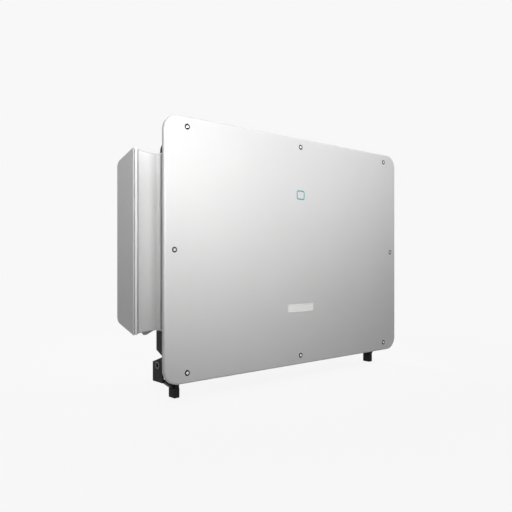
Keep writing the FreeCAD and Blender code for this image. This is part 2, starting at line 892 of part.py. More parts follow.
def make_casing_floor():
    """The plate between the casing's walls that carries the sockets, switches and cable entries."""
    plate = body("CasingFloor")
    outline = sketch(plate, "XY_Plane", "FloorOutline", casing_low)
    draw_polygon(outline, floor_outline())
    pad(plate, outline, "Floor", dim.casing_wall)
    holes = sketch(plate, "XY_Plane", "FloorHoles", casing_low)
    for x, y, radius in WALL_HOLES:
        draw_circle(holes, x, y, radius)
    for x, y in CONNECTOR_HOLES:
        draw_hexagon(holes, x, y, connector_neck + dim.fit_gap)
    pocket(plate, holes, "FloorWays", dim.casing_wall, reverse=True)
    return subpart(plate, "casing_floor")


def make_heat_sink():
    """A base plate that closes the casing's back window, with upright fins behind it."""
    sink = body("HeatSink")
    half = sink_x
    base = sketch(sink, "XZ_Plane", "SinkBaseOutline", -sink_back)
    draw_polygon(base, [(-half, sink_low), (half, sink_low), (half, sink_high), (-half, sink_high)])
    pad(sink, base, "SinkBase", dim.sink_base)
    fin = sketch(sink, "XZ_Plane", "FinOutline", -sink_back)
    fin_pitch = 2 * sink_x / SINK_FINS
    start = -(fin_pitch * ((SINK_FINS - 1) / 2)) - dim.fin_thickness / 2
    draw_polygon(
        fin,
        [
            (start, sink_low),
            (start + dim.fin_thickness, sink_low),
            (start + dim.fin_thickness, sink_high),
            (start, sink_high),
        ],
    )
    first = pad(sink, fin, "FirstFin", dim.fin_depth, reverse=True)
    doc.recompute()
    row = sink.newObject("PartDesign::LinearPattern", "FinRow")
    row.Originals = [first]
    row.Direction = (fin, ["H_Axis"])
    row.Occurrences = SINK_FINS
    bind(row, "Length", fin_pitch * (SINK_FINS - 1))
    sink.Tip = row
    return subpart(sink, "heat_sink")


ROOF_MARGIN = 24
RAIL_BOLT = 4
RAIL_BOLT_INSET = 18
RAIL_BOLTS = [
    (across * dim.rail_across, housing_mid + level * (dim.rail_height / 2 - RAIL_BOLT_INSET))
    for across in (-1, 1)
    for level in (-1, 1)
]


def make_duct_frame():
    """A sheet hood behind the casing: two sides, a back and a roof with an air outlet."""
    duct = body("DuctFrame")
    skin = dim.duct_sheet
    hollow_front = casing_back - 1

    def side_view(front, low, back, high, radius):
        return [
            (front, low),
            (back, low),
            (back, high - radius, back - radius, high - radius, 1),
            (back - radius, high),
            (front, high),
        ]

    profile = sketch(duct, "YZ_Plane", "DuctProfile")
    draw_path(profile, side_view(casing_back, tray_high, duct_back, duct_high, dim.duct_round))
    pad(duct, profile, "DuctBlank", 2 * duct_x, symmetric=True)
    inner = sketch(duct, "YZ_Plane", "DuctInside")
    draw_path(
        inner,
        side_view(hollow_front, tray_high - 1, duct_back - skin, duct_high - skin, dim.duct_round - skin),
    )
    pocket(duct, inner, "DuctHollow", 2 * (duct_x - skin), symmetric=True)
    outlet = sketch(duct, "XY_Plane", "OutletOutline", duct_high)
    half = duct_x - ROOF_MARGIN
    draw_polygon(
        outlet,
        [
            (-half, casing_back + 10),
            (half, casing_back + 10),
            (half, duct_back - dim.duct_round - 8),
            (-half, duct_back - dim.duct_round - 8),
        ],
    )
    pocket(duct, outlet, "Outlet", 2 * skin)
    bolts = sketch(duct, "XZ_Plane", "DuctBoltCircles", -(duct_back + 1))
    for x, z in RAIL_BOLTS:
        draw_circle(bolts, x, z, RAIL_BOLT + dim.fit_gap)
    pocket(duct, bolts, "DuctBoltHoles", skin + 2, reverse=True)
    return subpart(duct, "duct_frame")


def make_outlet_grille():
    """A plate with long slots, laid under the duct's roof."""
    grille = body("OutletGrille")
    top = duct_high - dim.duct_sheet
    plate = sketch(grille, "XY_Plane", "GrillePlate", top - dim.grille_thickness)
    half = duct_x - ROOF_MARGIN + 8
    front = casing_back + 4
    back = duct_back - dim.duct_round - 2
    draw_polygon(plate, [(-half, front), (half, front), (half, back), (-half, back)])
    pad(grille, plate, "GrilleBlank", dim.grille_thickness)
    slot = sketch(grille, "XY_Plane", "FirstSlot", top)
    pitch = 22
    count = int((2 * half.value - 30) / pitch)
    start = -(pitch * (count - 1) / 2) - 7
    draw_polygon(
        slot,
        [(start, front + 12), (start + 14, front + 12), (start + 14, back - 12), (start, back - 12)],
    )
    first = pocket(grille, slot, "Slot", dim.grille_thickness)
    doc.recompute()
    row = grille.newObject("PartDesign::LinearPattern", "SlotRow")
    row.Originals = [first]
    row.Direction = (slot, ["H_Axis"])
    row.Occurrences = count
    row.Length = pitch * (count - 1)
    grille.Tip = row
    return subpart(grille, "outlet_grille")


# ---------------------------------------------------------------- fans

fan_pitch = 2 * duct_x / (FANS + 0.5)
FAN_X = [(number - (FANS - 1) / 2) * fan_pitch for number in range(FANS)]
fan_y = casing_back + dim.duct_sheet + 1 + dim.fan_size / 2
fan_low = tray_low + dim.duct_sheet + dim.grille_thickness
fan_high = fan_low + dim.fan_depth
STRUT = 5
pin_low = fan_low + 6


def make_fan_tray():
    """A drawer-like tray under the duct, with a raked underside at the back."""
    tray = body("FanTray")
    skin = dim.duct_sheet

    def side_view(shrink, top):
        rake = casing_back + shrink
        end = duct_back - shrink
        lift = shrink * 1.1
        return [
            (rake, tray_low + shrink),
            (end - dim.tray_rake_depth, tray_low + shrink),
            (end, tray_low + dim.tray_rake_rise + lift),
            (end, top),
            (rake, top),
        ]

    profile = sketch(tray, "YZ_Plane", "TrayProfile")
    draw_polygon(profile, side_view(as_size(0), tray_high))
    pad(tray, profile, "TrayBlank", 2 * tray_x, symmetric=True)
    inner = sketch(tray, "YZ_Plane", "TrayInside")
    draw_polygon(inner, side_view(skin, tray_high + 1))
    pocket(tray, inner, "TrayHollow", 2 * (tray_x - skin), symmetric=True)
    openings = sketch(tray, "XY_Plane", "IntakeOutlines", tray_low)
    reach = dim.fan_size / 2 - 5
    for x in FAN_X:
        draw_path(openings, round_rectangle(x - reach, x + reach, fan_y - reach, fan_y + reach, as_size(20)))
    pocket(tray, openings, "Intakes", skin, reverse=True)
    return subpart(tray, "fan_tray")


def make_intake_grille():
    """One slotted plate on the tray's floor, under all the fans."""
    grille = body("IntakeGrille")
    low = tray_low + dim.duct_sheet
    half = fan_pitch * (FANS / 2)
    reach = dim.fan_size / 2
    plate = sketch(grille, "XY_Plane", "IntakePlate", low)
    draw_polygon(
        plate,
        [(-half, fan_y - reach), (half, fan_y - reach), (half, fan_y + reach), (-half, fan_y + reach)],
    )
    pad(grille, plate, "IntakeBlank", dim.grille_thickness)
    pitch = 10
    slots = int((dim.fan_size.value - 24) / pitch)
    slot = sketch(grille, "XY_Plane", "IntakeSlots", low)
    for x in FAN_X:
        draw_polygon(
            slot,
            [
                (x - reach + 14, fan_y - reach + 12),
                (x + reach - 14, fan_y - reach + 12),
                (x + reach - 14, fan_y - reach + 18),
                (x - reach + 14, fan_y - reach + 18),
            ],
        )
    first = pocket(grille, slot, "Slot", dim.grille_thickness, reverse=True)
    doc.recompute()
    row = grille.newObject("PartDesign::LinearPattern", "SlotRow")
    row.Originals = [first]
    row.Direction = (slot, ["V_Axis"])
    row.Occurrences = slots
    row.Length = pitch * (slots - 1)
    grille.Tip = row
    return subpart(grille, "intake_grille")


def make_fans():
    """Square frames that carry a pin on struts, and an impeller that turns on each pin."""
    frame = body("FanFrame")
    outline = sketch(frame, "XY_Plane", "FrameOutline", fan_low)
    reach = dim.fan_size / 2
    draw_polygon(outline, [(-reach, -reach), (reach, -reach), (reach, reach), (-reach, reach)])
    draw_circle(outline, 0, 0, dim.fan_bore)
    pad(frame, outline, "FrameRing", dim.fan_depth)
    struts = sketch(frame, "XY_Plane", "StrutOutline", fan_high)
    long = dim.fan_bore + 1
    width = as_size(STRUT / 2)
    draw_polygon(
        struts,
        [
            (-long, -width),
            (-width, -width),
            (-width, -long),
            (width, -long),
            (width, -width),
            (long, -width),
            (long, width),
            (width, width),
            (width, long),
            (-width, long),
            (-width, width),
            (-long, width),
        ],
    )
    pad(frame, struts, "Struts", 4, reverse=True)
    hub = sketch(frame, "XY_Plane", "MotorCircle", fan_high)
    draw_circle(hub, 0, 0, dim.fan_hub - 2)
    pad(frame, hub, "Motor", 5, reverse=True)
    pin = sketch(frame, "XY_Plane", "PinCircle", fan_high)
    draw_circle(pin, 0, 0, dim.fan_pin)
    pad(frame, pin, "Pin", fan_high - pin_low, reverse=True)
    subpart(copies("FanFrames", frame, [(x, fan_y, 0) for x in FAN_X]), "fan_frames")

    impeller = body("Impeller")
    disc = sketch(impeller, "XY_Plane", "HubCircle", fan_low + 3)
    draw_circle(disc, 0, 0, dim.fan_hub)
    hub_height = dim.fan_depth - 5 - 3 - dim.moving_gap
    pad(impeller, disc, "Hub", hub_height)
    middle = fan_low + 3 + hub_height / 2
    sections = []
    tip_reach = dim.fan_bore - dim.moving_gap
    for name, reach, pitch_angle, chord in (
        ("BladeRoot", dim.fan_hub - 2, 52, dim.blade_chord * 0.75),
        ("BladeMiddle", (dim.fan_hub + tip_reach) / 2, 36, dim.blade_chord * 0.92),
        ("BladeTip", tip_reach - 1.5, 25, dim.blade_chord),
    ):
        section = sketch(impeller, "YZ_Plane", name, reach)
        turn = FreeCAD.Rotation(FreeCAD.Vector(0, 0, 1), pitch_angle)
        section.AttachmentOffset = FreeCAD.Placement(FreeCAD.Vector(0, 0, reach.value), turn)
        bind(section, "AttachmentOffset.Base.y", middle)
        half_chord = chord / 2
        half_thick = dim.blade_thickness / 2
        draw_polygon(
            section,
            [(-half_chord, -half_thick), (half_chord, -half_thick), (half_chord, half_thick), (0, half_thick * 2)],
        )
        sections.append(section)
    blade = impeller.newObject("PartDesign::AdditiveLoft", "Blade")
    blade.Profile = sections[0]
    blade.Sections = sections[1:]
    blade.Ruled = True
    doc.recompute()
    ring = impeller.newObject("PartDesign::PolarPattern", "BladeRing")
    ring.Originals = [blade]
    axis = [item for item in impeller.Origin.OriginFeatures if item.Role == "Z_Axis"][0]
    ring.Axis = (axis, [""])
    ring.Angle = 360
    ring.Occurrences = BLADES
    impeller.Tip = ring
    doc.recompute()
    bore = sketch(impeller, "XY_Plane", "BoreCircle", pin_low - dim.moving_gap)
    draw_circle(bore, 0, 0, dim.fan_pin + dim.running_gap)
    pocket(impeller, bore, "Bore", dim.fan_depth, reverse=True)
    for number, x in enumerate(FAN_X, start=1):
        subpart(copies(f"Impeller{number}", impeller, [(x, fan_y, 0)]), f"fan_impeller_{number}")


make_casing()
make_casing_flange()
make_casing_floor()
make_heat_sink()
make_duct_frame()
make_outlet_grille()
make_fan_tray()
make_intake_grille()
make_fans()


# ---------------------------------------------------------------- rear housing

scoop_y = behind(dim.scoop_floor)
neck_front = scoop_y - dim.neck_length
neck_x = duct_x + dim.sheet_metal
scoop_x = neck_x + dim.scoop_round
rim_x = housing_x - dim.rim_width
step_y = housing_rim + dim.rim_step
scoop_rise = scoop_y - step_y
scoop_run = rim_x - scoop_x
scoop_radius = (scoop_run * scoop_run + scoop_rise * scoop_rise) / (2 * scoop_rise)
scoop_centre_y = scoop_y - scoop_radius


def hood_outline(front, back, half, radius):
    """Side view of the housing: raked top and bottom that round into an upright back."""
    corner = half - (back - housing_rim) * tangent(dim.housing_slant)
    lead = radius * tangent((90 - dim.housing_slant) / 2)
    along = back - lead * cosine(dim.housing_slant)
    across = corner + lead * sine(dim.housing_slant)
    straight = corner - lead
    opening = half + (housing_rim - front) * tangent(dim.housing_slant)
    return [
        (front, housing_mid - opening),
        (along, housing_mid - across, back - radius, housing_mid - straight, 1),
        (back, housing_mid - straight),
        (back, housing_mid + straight, back - radius, housing_mid + straight, 1),
        (along, housing_mid + across),
        (front, housing_mid + opening),
    ]


def extrude(name, plane, nodes, low, high):
    """A prism from a closed outline, between two places along the plane's normal."""
    block = body(name)
    drawing = sketch(block, plane, f"{name}Outline", low)
    draw_path(drawing, nodes)
    pad(block, drawing, f"{name}Pad", as_size(high) - low)
    return block


def make_skirt(side):
    """The scoop's own curved sheet, carried on below its lower edge as a short skirt with a raked end."""
    name = "Right" if side > 0 else "Left"
    corners = [
        (side * (housing_x - SKIRT_START), housing_low + 26),
        (side * (housing_x - SKIRT_START), housing_low + 8),
        (side * (housing_x - SKIRT_START - 13), housing_low - SKIRT_DROP),
        (side * (housing_x - SKIRT_START - 26), housing_low - SKIRT_DROP),
        (side * (housing_x - SKIRT_END), housing_low + 17),
        (side * (housing_x - SKIRT_END), housing_low + 26),
    ]
    front = step_y
    block = body(f"{name}Skirt")
    outline = sketch(block, "XZ_Plane", f"{name}SkirtOutline", -(scoop_y + dim.sheet_metal))
    draw_polygon(outline, corners)
    pad(block, outline, f"{name}SkirtPad", scoop_y + dim.sheet_metal - front)
    span = (housing_low - SKIRT_DROP - 1, housing_low + HOUSING_MARGIN)
    centre = (side * scoop_x, scoop_centre_y)
    sheet_ring = cut(
        f"{name}SkirtRing",
        rod(f"{name}SkirtOuter", "Z", scoop_radius + dim.sheet_metal, span, *centre),
        rod(f"{name}SkirtInner", "Z", scoop_radius, span, *centre),
    )
    return common(f"{name}SkirtSheet", block, sheet_ring)


VENTS = 15
HOUSING_MARGIN = 40
SKIRT_START = 30
SKIRT_END = 80
SKIRT_DROP = 5


def make_rear_housing():
    """A sheet shell behind the casing, with a concave scoop at each side of the duct.

    It is the plan outline and the side outline in common, less the same two outlines one sheet smaller.
    """
    sheet_gap = dim.sheet_metal
    plan = [
        (duct_x, duct_back),
        (duct_x, neck_front),
        (neck_x, neck_front),
        (neck_x, scoop_y - dim.scoop_round, scoop_x, scoop_y - dim.scoop_round, -1),
        (scoop_x, scoop_y, scoop_x, scoop_centre_y, -1),
        (rim_x, step_y),
        (rim_x, housing_rim),
        (housing_x, housing_rim),
        (housing_x, housing_back),
        (-housing_x, housing_back),
        (-housing_x, housing_rim),
        (-rim_x, housing_rim),
        (-rim_x, step_y, -scoop_x, scoop_centre_y, -1),
        (-scoop_x, scoop_y, -scoop_x, scoop_y - dim.scoop_round, -1),
        (-neck_x, scoop_y - dim.scoop_round),
        (-neck_x, neck_front),
        (-duct_x, neck_front),
        (-duct_x, duct_back),
    ]
    wider = (scoop_radius + sheet_gap) / scoop_radius
    lip_x = scoop_x + scoop_run * wider
    lip_y = scoop_centre_y + (step_y - scoop_centre_y) * wider
    far_x = housing_x - sheet_gap
    far_y = housing_back - sheet_gap
    hollow_plan = [
        (-scoop_x, scoop_y + sheet_gap),
        (scoop_x, scoop_y + sheet_gap, scoop_x, scoop_centre_y, -1),
        (lip_x, lip_y),
        (rim_x + sheet_gap, lip_y),
        (rim_x + sheet_gap, housing_rim + sheet_gap),
        (far_x, housing_rim + sheet_gap),
        (far_x, far_y),
        (-far_x, far_y),
        (-far_x, housing_rim + sheet_gap),
        (-(rim_x + sheet_gap), housing_rim + sheet_gap),
        (-(rim_x + sheet_gap), lip_y),
        (-lip_x, lip_y, -scoop_x, scoop_centre_y, -1),
    ]
    low = housing_low - HOUSING_MARGIN
    high = housing_high + HOUSING_MARGIN
    front = neck_front - 1
    outer = common(
        "HousingOuter",
        extrude("HousingPlan", "XY_Plane", plan, low, high),
        extrude(
            "HousingSide",
            "YZ_Plane",
            hood_outline(front, housing_back, housing_half, dim.housing_round),
            -housing_x,
            housing_x,
        ),
    )
    slant_wall = sheet_gap / cosine(dim.housing_slant)
    inner = common(
        "HousingInner",
        extrude("HollowPlan", "XY_Plane", hollow_plan, low, high),
        extrude(
            "HollowSide",
            "YZ_Plane",
            hood_outline(front, far_y, housing_half - slant_wall, dim.housing_round - sheet_gap),
            -housing_x,
            housing_x,
        ),
    )
    vent_pitch = 2 * rim_x / (VENTS + 1)
    room = far_y - duct_back
    vents = [
        slab(
            f"Vent_{number}_{line}",
            (vent_pitch * (number - VENTS / 2 + 0.12), vent_pitch * (number - VENTS / 2 + 0.88)),
            (duct_back + room * (0.16 + 0.28 * line), duct_back + room * (0.31 + 0.28 * line)),
            (low, high),
        )
        for number in range(VENTS)
        for line in (0, 1)
    ]
    bolt_ways = [
        rod(f"BoltWay_{number}", "Y", RAIL_BOLT + dim.fit_gap, (far_y - 1, rear), x, 0, z)
        for number, (x, z) in enumerate(RAIL_BOLTS)
    ]
    pin_ways = [
        rod(f"SideWay_{number}", "X", SIDE_SHANK + dim.fit_gap, (side * far_x - 5, side * far_x + 5), 0, y, z)
        for number, (side, y, z) in enumerate(SIDE_SCREWS)
    ]
    shell = fuse("HousingShell", [cut("HousingSkin", outer, inner)] + [make_skirt(side) for side in (-1, 1)])
    holes = group("HousingHoles", vents + bolt_ways + pin_ways)
    return subpart(cut("RearHousing", shell, holes), "rear_housing")


SIDE_SHANK = 2.5
SIDE_HEAD = 4.8
side_rear_y = rear - 24
side_corner = housing_half - (rear - housing_rim) * tangent(dim.housing_slant)
SIDE_SCREWS = [
    (side, y, housing_mid + level * reach)
    for side in (-1, 1)
    for y, reach in ((housing_rim + 11, housing_half - 42), (side_rear_y, side_corner - 30))
    for level in (-1, 1)
]
side_outer = inset(dim.side_inset)
side_inner = side_outer - dim.side_plate


def make_side_cover(side, label):
    """A flat side plate with softened edges, a locating lip and four screw seats."""
    cover = body(label.title().replace("_", ""))
    outer_at = side * side_outer
    plate = sketch(cover, "YZ_Plane", "SidePlateOutline", outer_at)
    draw_path(plate, hood_outline(housing_rim, rear, housing_half, dim.housing_round))
    blank = pad(cover, plate, "SidePlate", dim.side_plate, reverse=side > 0)
    cover.Tip = dress(
        cover, "Fillet", "SideEdge", blank, lambda place: near(place.x, outer_at), 1.6
    )
    lip = sketch(cover, "YZ_Plane", "SideLipOutline", side * side_inner)
    inner_half = housing_half - 8
    draw_path(lip, hood_outline(housing_rim + 6, housing_back - 4, inner_half, dim.housing_round))
    pad(cover, lip, "SideLip", dim.side_seam, reverse=side > 0)
    seats = sketch(cover, "YZ_Plane", "SideSeatCircles", outer_at)
    holes = sketch(cover, "YZ_Plane", "SideHoleCircles", outer_at)
    for which, y, z in SIDE_SCREWS:
        if which == side:
            draw_circle(seats, y, z, SIDE_HEAD + dim.fit_gap)
            draw_circle(holes, y, z, SIDE_SHANK + dim.fit_gap)
    pocket(cover, seats, "SideSeats", 2.2, reverse=side < 0)
    pocket(cover, holes, "SideHoles", dim.side_plate + 2, reverse=side < 0)
    return subpart(cover, label)


def make_side_screws():
    screws = []
    for number, (side, y, z) in enumerate(SIDE_SCREWS, start=1):
        top = side * (side_outer - 0.3)
        under = side * (side_outer - 2.2)
        tip = side * (side_inner - 6)
        head_span = (under, top) if side > 0 else (top, under)
        shank_span = (tip, under) if side > 0 else (under, tip)
        head = rod(f"SideHead_{number}", "X", SIDE_HEAD, head_span, 0, y, z)
        shank = rod(f"SideShank_{number}", "X", SIDE_SHANK, shank_span, 0, y, z)
        screws.append(fuse(f"SideScrew_{number}", [head, shank]))
    return subpart(group("SideScrews", screws), "side_cover_screws")


def make_hanger_rails():
    """Two steel bars on the housing's back, each bolted through spacers to the duct."""
    rail = body("HangerRail")
    outline = sketch(rail, "XZ_Plane", "RailOutline", -rear)
    half = dim.rail_width / 2
    draw_path(
        outline,
        round_rectangle(
            -half,
            half,
            housing_mid - dim.rail_height / 2,
            housing_mid + dim.rail_height / 2,
            as_size(10),
        ),
    )
    pad(rail, outline, "Rail", dim.rail_thickness)
    holes = sketch(rail, "XZ_Plane", "RailHoles", -rear)
    seats = sketch(rail, "XZ_Plane", "RailSeats", -rear)
    for level in (-1, 1):
        draw_circle(holes, 0, housing_mid + level * dim.rail_hole_spread / 2, dim.rail_hole)
        draw_circle(holes, 0, housing_mid + level * (dim.rail_height / 2 - RAIL_BOLT_INSET), RAIL_BOLT + dim.fit_gap)
        draw_circle(seats, 0, housing_mid + level * (dim.rail_height / 2 - RAIL_BOLT_INSET), 7.5)
    pocket(rail, holes, "RailThreads", dim.rail_thickness, reverse=True)
    pocket(rail, seats, "RailBoltSeats", 3, reverse=True)
    subpart(copies("HangerRails", rail, [(side * dim.rail_across, 0, 0) for side in (-1, 1)]), "hanger_rails")
    far_y = housing_back - dim.sheet_metal
    spacer = cut(
        "RailSpacer",
        rod("RailSpacerTube", "Y", 9, (duct_back, far_y)),
        rod("RailSpacerWay", "Y", RAIL_BOLT + dim.fit_gap, (duct_back - 1, far_y + 1)),
    )
    places = [(x, 0, z) for x, z in RAIL_BOLTS]
    subpart(copies("RailSpacers", spacer, places), "rail_spacers")
    bolt = fuse(
        "RailBolt",
        [
            prism("RailBoltHead", 6, "Y", 7, (rear - 3, rear - 0.3)),
            rod("RailBoltShank", "Y", RAIL_BOLT, (duct_back - dim.duct_sheet, rear - 3)),
        ],
    )
    return subpart(copies("RailBolts", bolt, places), "rail_bolts")


# ---------------------------------------------------------------- brackets and feet

foot_x = inset(dim.foot_inset)
foot_top = dim.foot_height
rear_foot_x = duct_x - dim.rear_foot_side + 2
post_half = dim.foot_width / 2 - 2.5
bracket_y = behind(dim.bracket_front)
bracket_end = bracket_y + dim.bracket_depth
foot_front = behind(dim.foot_back) - dim.foot_depth / 2
foot_end = foot_front + dim.foot_depth
shelf_low = casing_low - dim.bracket_plate
handle_y = behind(dim.handle_depth)
handle_z = above(dim.handle_height)
SHELF_REACH = 14


def make_bracket(side, label):
    """A cast corner bracket: outer plate with a handle socket, shelf, strut and foot post."""
    bracket = body(label.title().replace("_", ""))
    outer = side_outer
    inner = side_outer - dim.bracket_plate
    low = cover_low - dim.bracket_low

    def slice_pad(name, corners, front, end):
        drawing = sketch(bracket, "XZ_Plane", f"{name}Outline", -end)
        draw_polygon(drawing, [(side * x, z) for x, z in corners])
        return pad(bracket, drawing, name, end - front)

    high = above(dim.bracket_top)
    slice_pad("Plate", [(outer, low), (outer, high), (inner, high), (inner, low)], bracket_y, bracket_end)
    shelf_end = foot_x - dim.foot_width / 2 - 4
    slice_pad(
        "Shelf",
        [(inner, shelf_low), (inner, casing_low), (shelf_end, casing_low), (shelf_end, shelf_low)],
        bracket_y,
        bracket_end - 8,
    )
    side_top = casing_low + 44
    ear = casing_x + dim.bracket_plate
    slice_pad(
        "Ear",
        [(ear, shelf_low), (ear, side_top), (casing_x, side_top), (casing_x, shelf_low)],
        bracket_y,
        casing_back - 12,
    )
    slice_pad(
        "Post",
        [
            (foot_x + post_half, foot_top),
            (foot_x + post_half, casing_low - 1),
            (foot_x - post_half, casing_low - 1),
            (foot_x - post_half, foot_top),
        ],
        foot_front,
        foot_end,
    )
    slice_pad(
        "Strut",
        [
            (outer - 1, low),
            (outer - 1, low + 15),
            (foot_x, foot_top + 15),
            (foot_x, foot_top),
            (foot_x + post_half, foot_top),
            (inner - 8, low),
        ],
        foot_front + 4,
        bracket_end - 14,
    )
    boss = sketch(bracket, "YZ_Plane", "BossCircle", side * outer)
    draw_circle(boss, handle_y, handle_z, dim.handle_boss)
    pad(bracket, boss, "Boss", dim.bracket_plate + 20, reverse=side > 0)
    rake = sketch(bracket, "YZ_Plane", "RakeOutline", side * (outer + 1))
    drop = dim.bracket_depth * tangent(dim.bracket_rake)
    draw_polygon(rake, [(bracket_y, high), (bracket_end + 1, high - drop), (bracket_end + 1, high + 1)])
    pocket(bracket, rake, "Rake", dim.bracket_plate + 2, reverse=side < 0)
    hole = sketch(bracket, "YZ_Plane", "HandleCircle", side * outer)
    draw_circle(hole, handle_y, handle_z, dim.handle_hole)
    pocket(bracket, hole, "HandleSocket", dim.bracket_plate + 16, reverse=side < 0)
    return subpart(bracket, label)


def make_feet():
    """Moulded foot blocks under the brackets and the rear legs, each on its own screw."""
    foot = body("Foot")
    outline = sketch(foot, "XY_Plane", "FootOutline")
    half_x = dim.foot_width / 2
    half_y = dim.foot_depth / 2
    draw_polygon(outline, [(-half_x, -half_y), (half_x, -half_y), (half_x, half_y), (-half_x, half_y)])
    blank = pad(foot, outline, "FootBlank", dim.foot_height)
    foot.Tip = dress(foot, "Chamfer", "FootEdge", blank, lambda place: near(place.z, 0), dim.foot_chamfer)
    way = sketch(foot, "XY_Plane", "FootWay")
    draw_circle(way, 0, 0, 4.1)
    pocket(foot, way, "FootHole", dim.foot_height, reverse=True)
    seat = sketch(foot, "XY_Plane", "FootSeat")
    draw_circle(seat, 0, 0, 6.6)
    pocket(foot, seat, "FootHeadSeat", 12, reverse=True)
    front = [(side * foot_x, foot_front + half_y, 0) for side in (-1, 1)]
    back = [(side * rear_foot_x, behind(dim.rear_foot_back), 0) for side in (-1, 1)]
    subpart(copies("Feet", foot, front + back), "feet")
    screw = fuse(
        "FootScrew",
        [prism("FootScrewHead", 6, "Z", 6.4, (6, 12)), rod("FootScrewShank", "Z", 4, (12, dim.foot_height))],
    )
    return subpart(copies("FootScrews", screw, front + back), "foot_screws")


def make_rear_legs():
    """Cast legs under the fan tray that bring the rear feet to the floor."""
    leg = body("RearLeg")
    profile = sketch(leg, "YZ_Plane", "LegProfile")
    foot_mid = behind(dim.rear_foot_back)
    start = foot_mid - dim.foot_depth / 2
    end = foot_mid + dim.foot_depth / 2
    knee = duct_back - dim.tray_rake_depth
    rise = (end - knee) * (dim.tray_rake_rise / dim.tray_rake_depth)
    draw_polygon(
        profile,
        [
            (start, foot_top),
            (end, foot_top),
            (end, tray_low + rise),
            (knee, tray_low),
            (knee - 36, tray_low),
            (knee - 36, tray_low - 8),
            (start, tray_low - 40),
        ],
    )
    pad(leg, profile, "LegPad", dim.foot_width - 3, symmetric=True)
    places = [(side * rear_foot_x, 0, 0) for side in (-1, 1)]
    return subpart(copies("RearLegs", leg, places), "rear_legs")


make_rear_housing()
make_side_cover(-1, "side_cover_left")
make_side_cover(1, "side_cover_right")
make_side_screws()
make_hanger_rails()
make_bracket(-1, "bracket_left")
make_bracket(1, "bracket_right")
make_feet()
make_rear_legs()


# ---------------------------------------------------------------- what passes through the casing's floor


def make_string_connectors():
    """Panel sockets for the string cables: a hexagon collar, a body with its socket and a nut inside."""
    collar_low = casing_low - 4
    bottom = casing_low - dim.connector_drop
    for label, y, bore in (
        ("string_connectors_plus", plus_y, dim.connector_bore),
        ("string_connectors_minus", minus_y, dim.connector_bore - 1),
    ):
        name = label.title().replace("_", "")
        solid = fuse(
            f"{name}Solid",
            [
                prism(f"{name}Collar", 6, "Z", dim.connector_radius + 2, (collar_low, casing_low)),
                prism(f"{name}Body", 8, "Z", dim.connector_radius, (bottom, collar_low)),
                prism(f"{name}Neck", 6, "Z", connector_neck, (casing_low, casing_floor)),
                prism(f"{name}Nut", 6, "Z", dim.connector_radius + 1, (casing_floor, casing_floor + 5)),
            ],
        )
        socket = rod(f"{name}Socket", "Z", bore, (bottom - 1, casing_low))
        connector = cut(f"{name}One", solid, socket)
        subpart(copies(name, connector, [(x, y, 0) for x in CONNECTOR_X]), label)


collar_low = casing_low - 4
knob_high = collar_low - 0.5
knob_low = casing_low - dim.knob_drop
shaft_high = casing_floor + 22


def make_switches():
    """Load-break switches inside, their collars below the casing and the knobs that turn them."""
    body_half = 19
    block = slab(
        "SwitchBlock",
        (as_size(-22), as_size(22)),
        (as_size(-body_half + 1), as_size(body_half)),
        (casing_floor, casing_floor + 62),
    )
    well = rod("SwitchWell", "Z", dim.shaft_radius + dim.running_gap, (casing_floor - 1, shaft_high + 0.5))
    switch = cut("SwitchBody", block, well)
    subpart(copies("SwitchBodies", switch, [(x, knob_y, 0) for x in KNOB_X]), "switch_bodies")
    ring = cut(
        "SwitchCollar",
        rod("CollarDisc", "Z", dim.knob_radius + 2, (collar_low, casing_low)),
        rod("CollarWay", "Z", dim.shaft_radius + dim.running_gap, (collar_low - 1, casing_low + 1)),
    )
    subpart(copies("SwitchCollars", ring, [(x, knob_y, 0) for x in KNOB_X]), "switch_collars")

    knob = body("Knob")
    disc = sketch(knob, "XY_Plane", "KnobDisc", knob_high)
    draw_circle(disc, 0, 0, dim.knob_radius)
    pad(knob, disc, "Disc", 8, reverse=True)
    grip = sketch(knob, "XY_Plane", "KnobGrip", knob_high - 8)
    width = dim.knob_radius * 0.3
    length = dim.knob_radius * 0.92
    draw_polygon(
        grip,
        [
            (-width, -length),
            (width, -length),
            (width, length - width),
            (0, length),
            (-width, length - width),
        ],
    )
    pad(knob, grip, "Grip", knob_high - 8 - knob_low, reverse=True)
    shaft = sketch(knob, "XY_Plane", "KnobShaft", knob_high)
    draw_circle(shaft, 0, 0, dim.shaft_radius)
    pad(knob, shaft, "Shaft", shaft_high - knob_high)
    for number, x in enumerate(KNOB_X, start=1):
        subpart(copies(f"Knob{number}", knob, [(x, knob_y, 0)]), f"switch_knob_{number}")


def gland(name, radius, bore, seat, drop):
    """A cable gland: neck through its wall, hexagon and a tapered clamping nut, bored right through."""
    step = drop * 0.35
    nose = add("Part::Cone", f"{name}Nose")
    bind(nose, "Radius1", radius * 0.76)
    bind(nose, "Radius2", radius * 0.9)
    bind(nose, "Height", drop - step)
    place(nose, 0, 0, seat - drop)
    neck_high = casing_floor + 10
    solid = fuse(
        f"{name}Solid",
        [
            nose,
            prism(f"{name}Hexagon", 6, "Z", radius, (seat - step, seat)),
            rod(f"{name}Neck", "Z", bore + 3, (seat, neck_high)),
        ],
    )
    return cut(name, solid, rod(f"{name}Way", "Z", bore, (seat - drop - 1, neck_high + 1)))


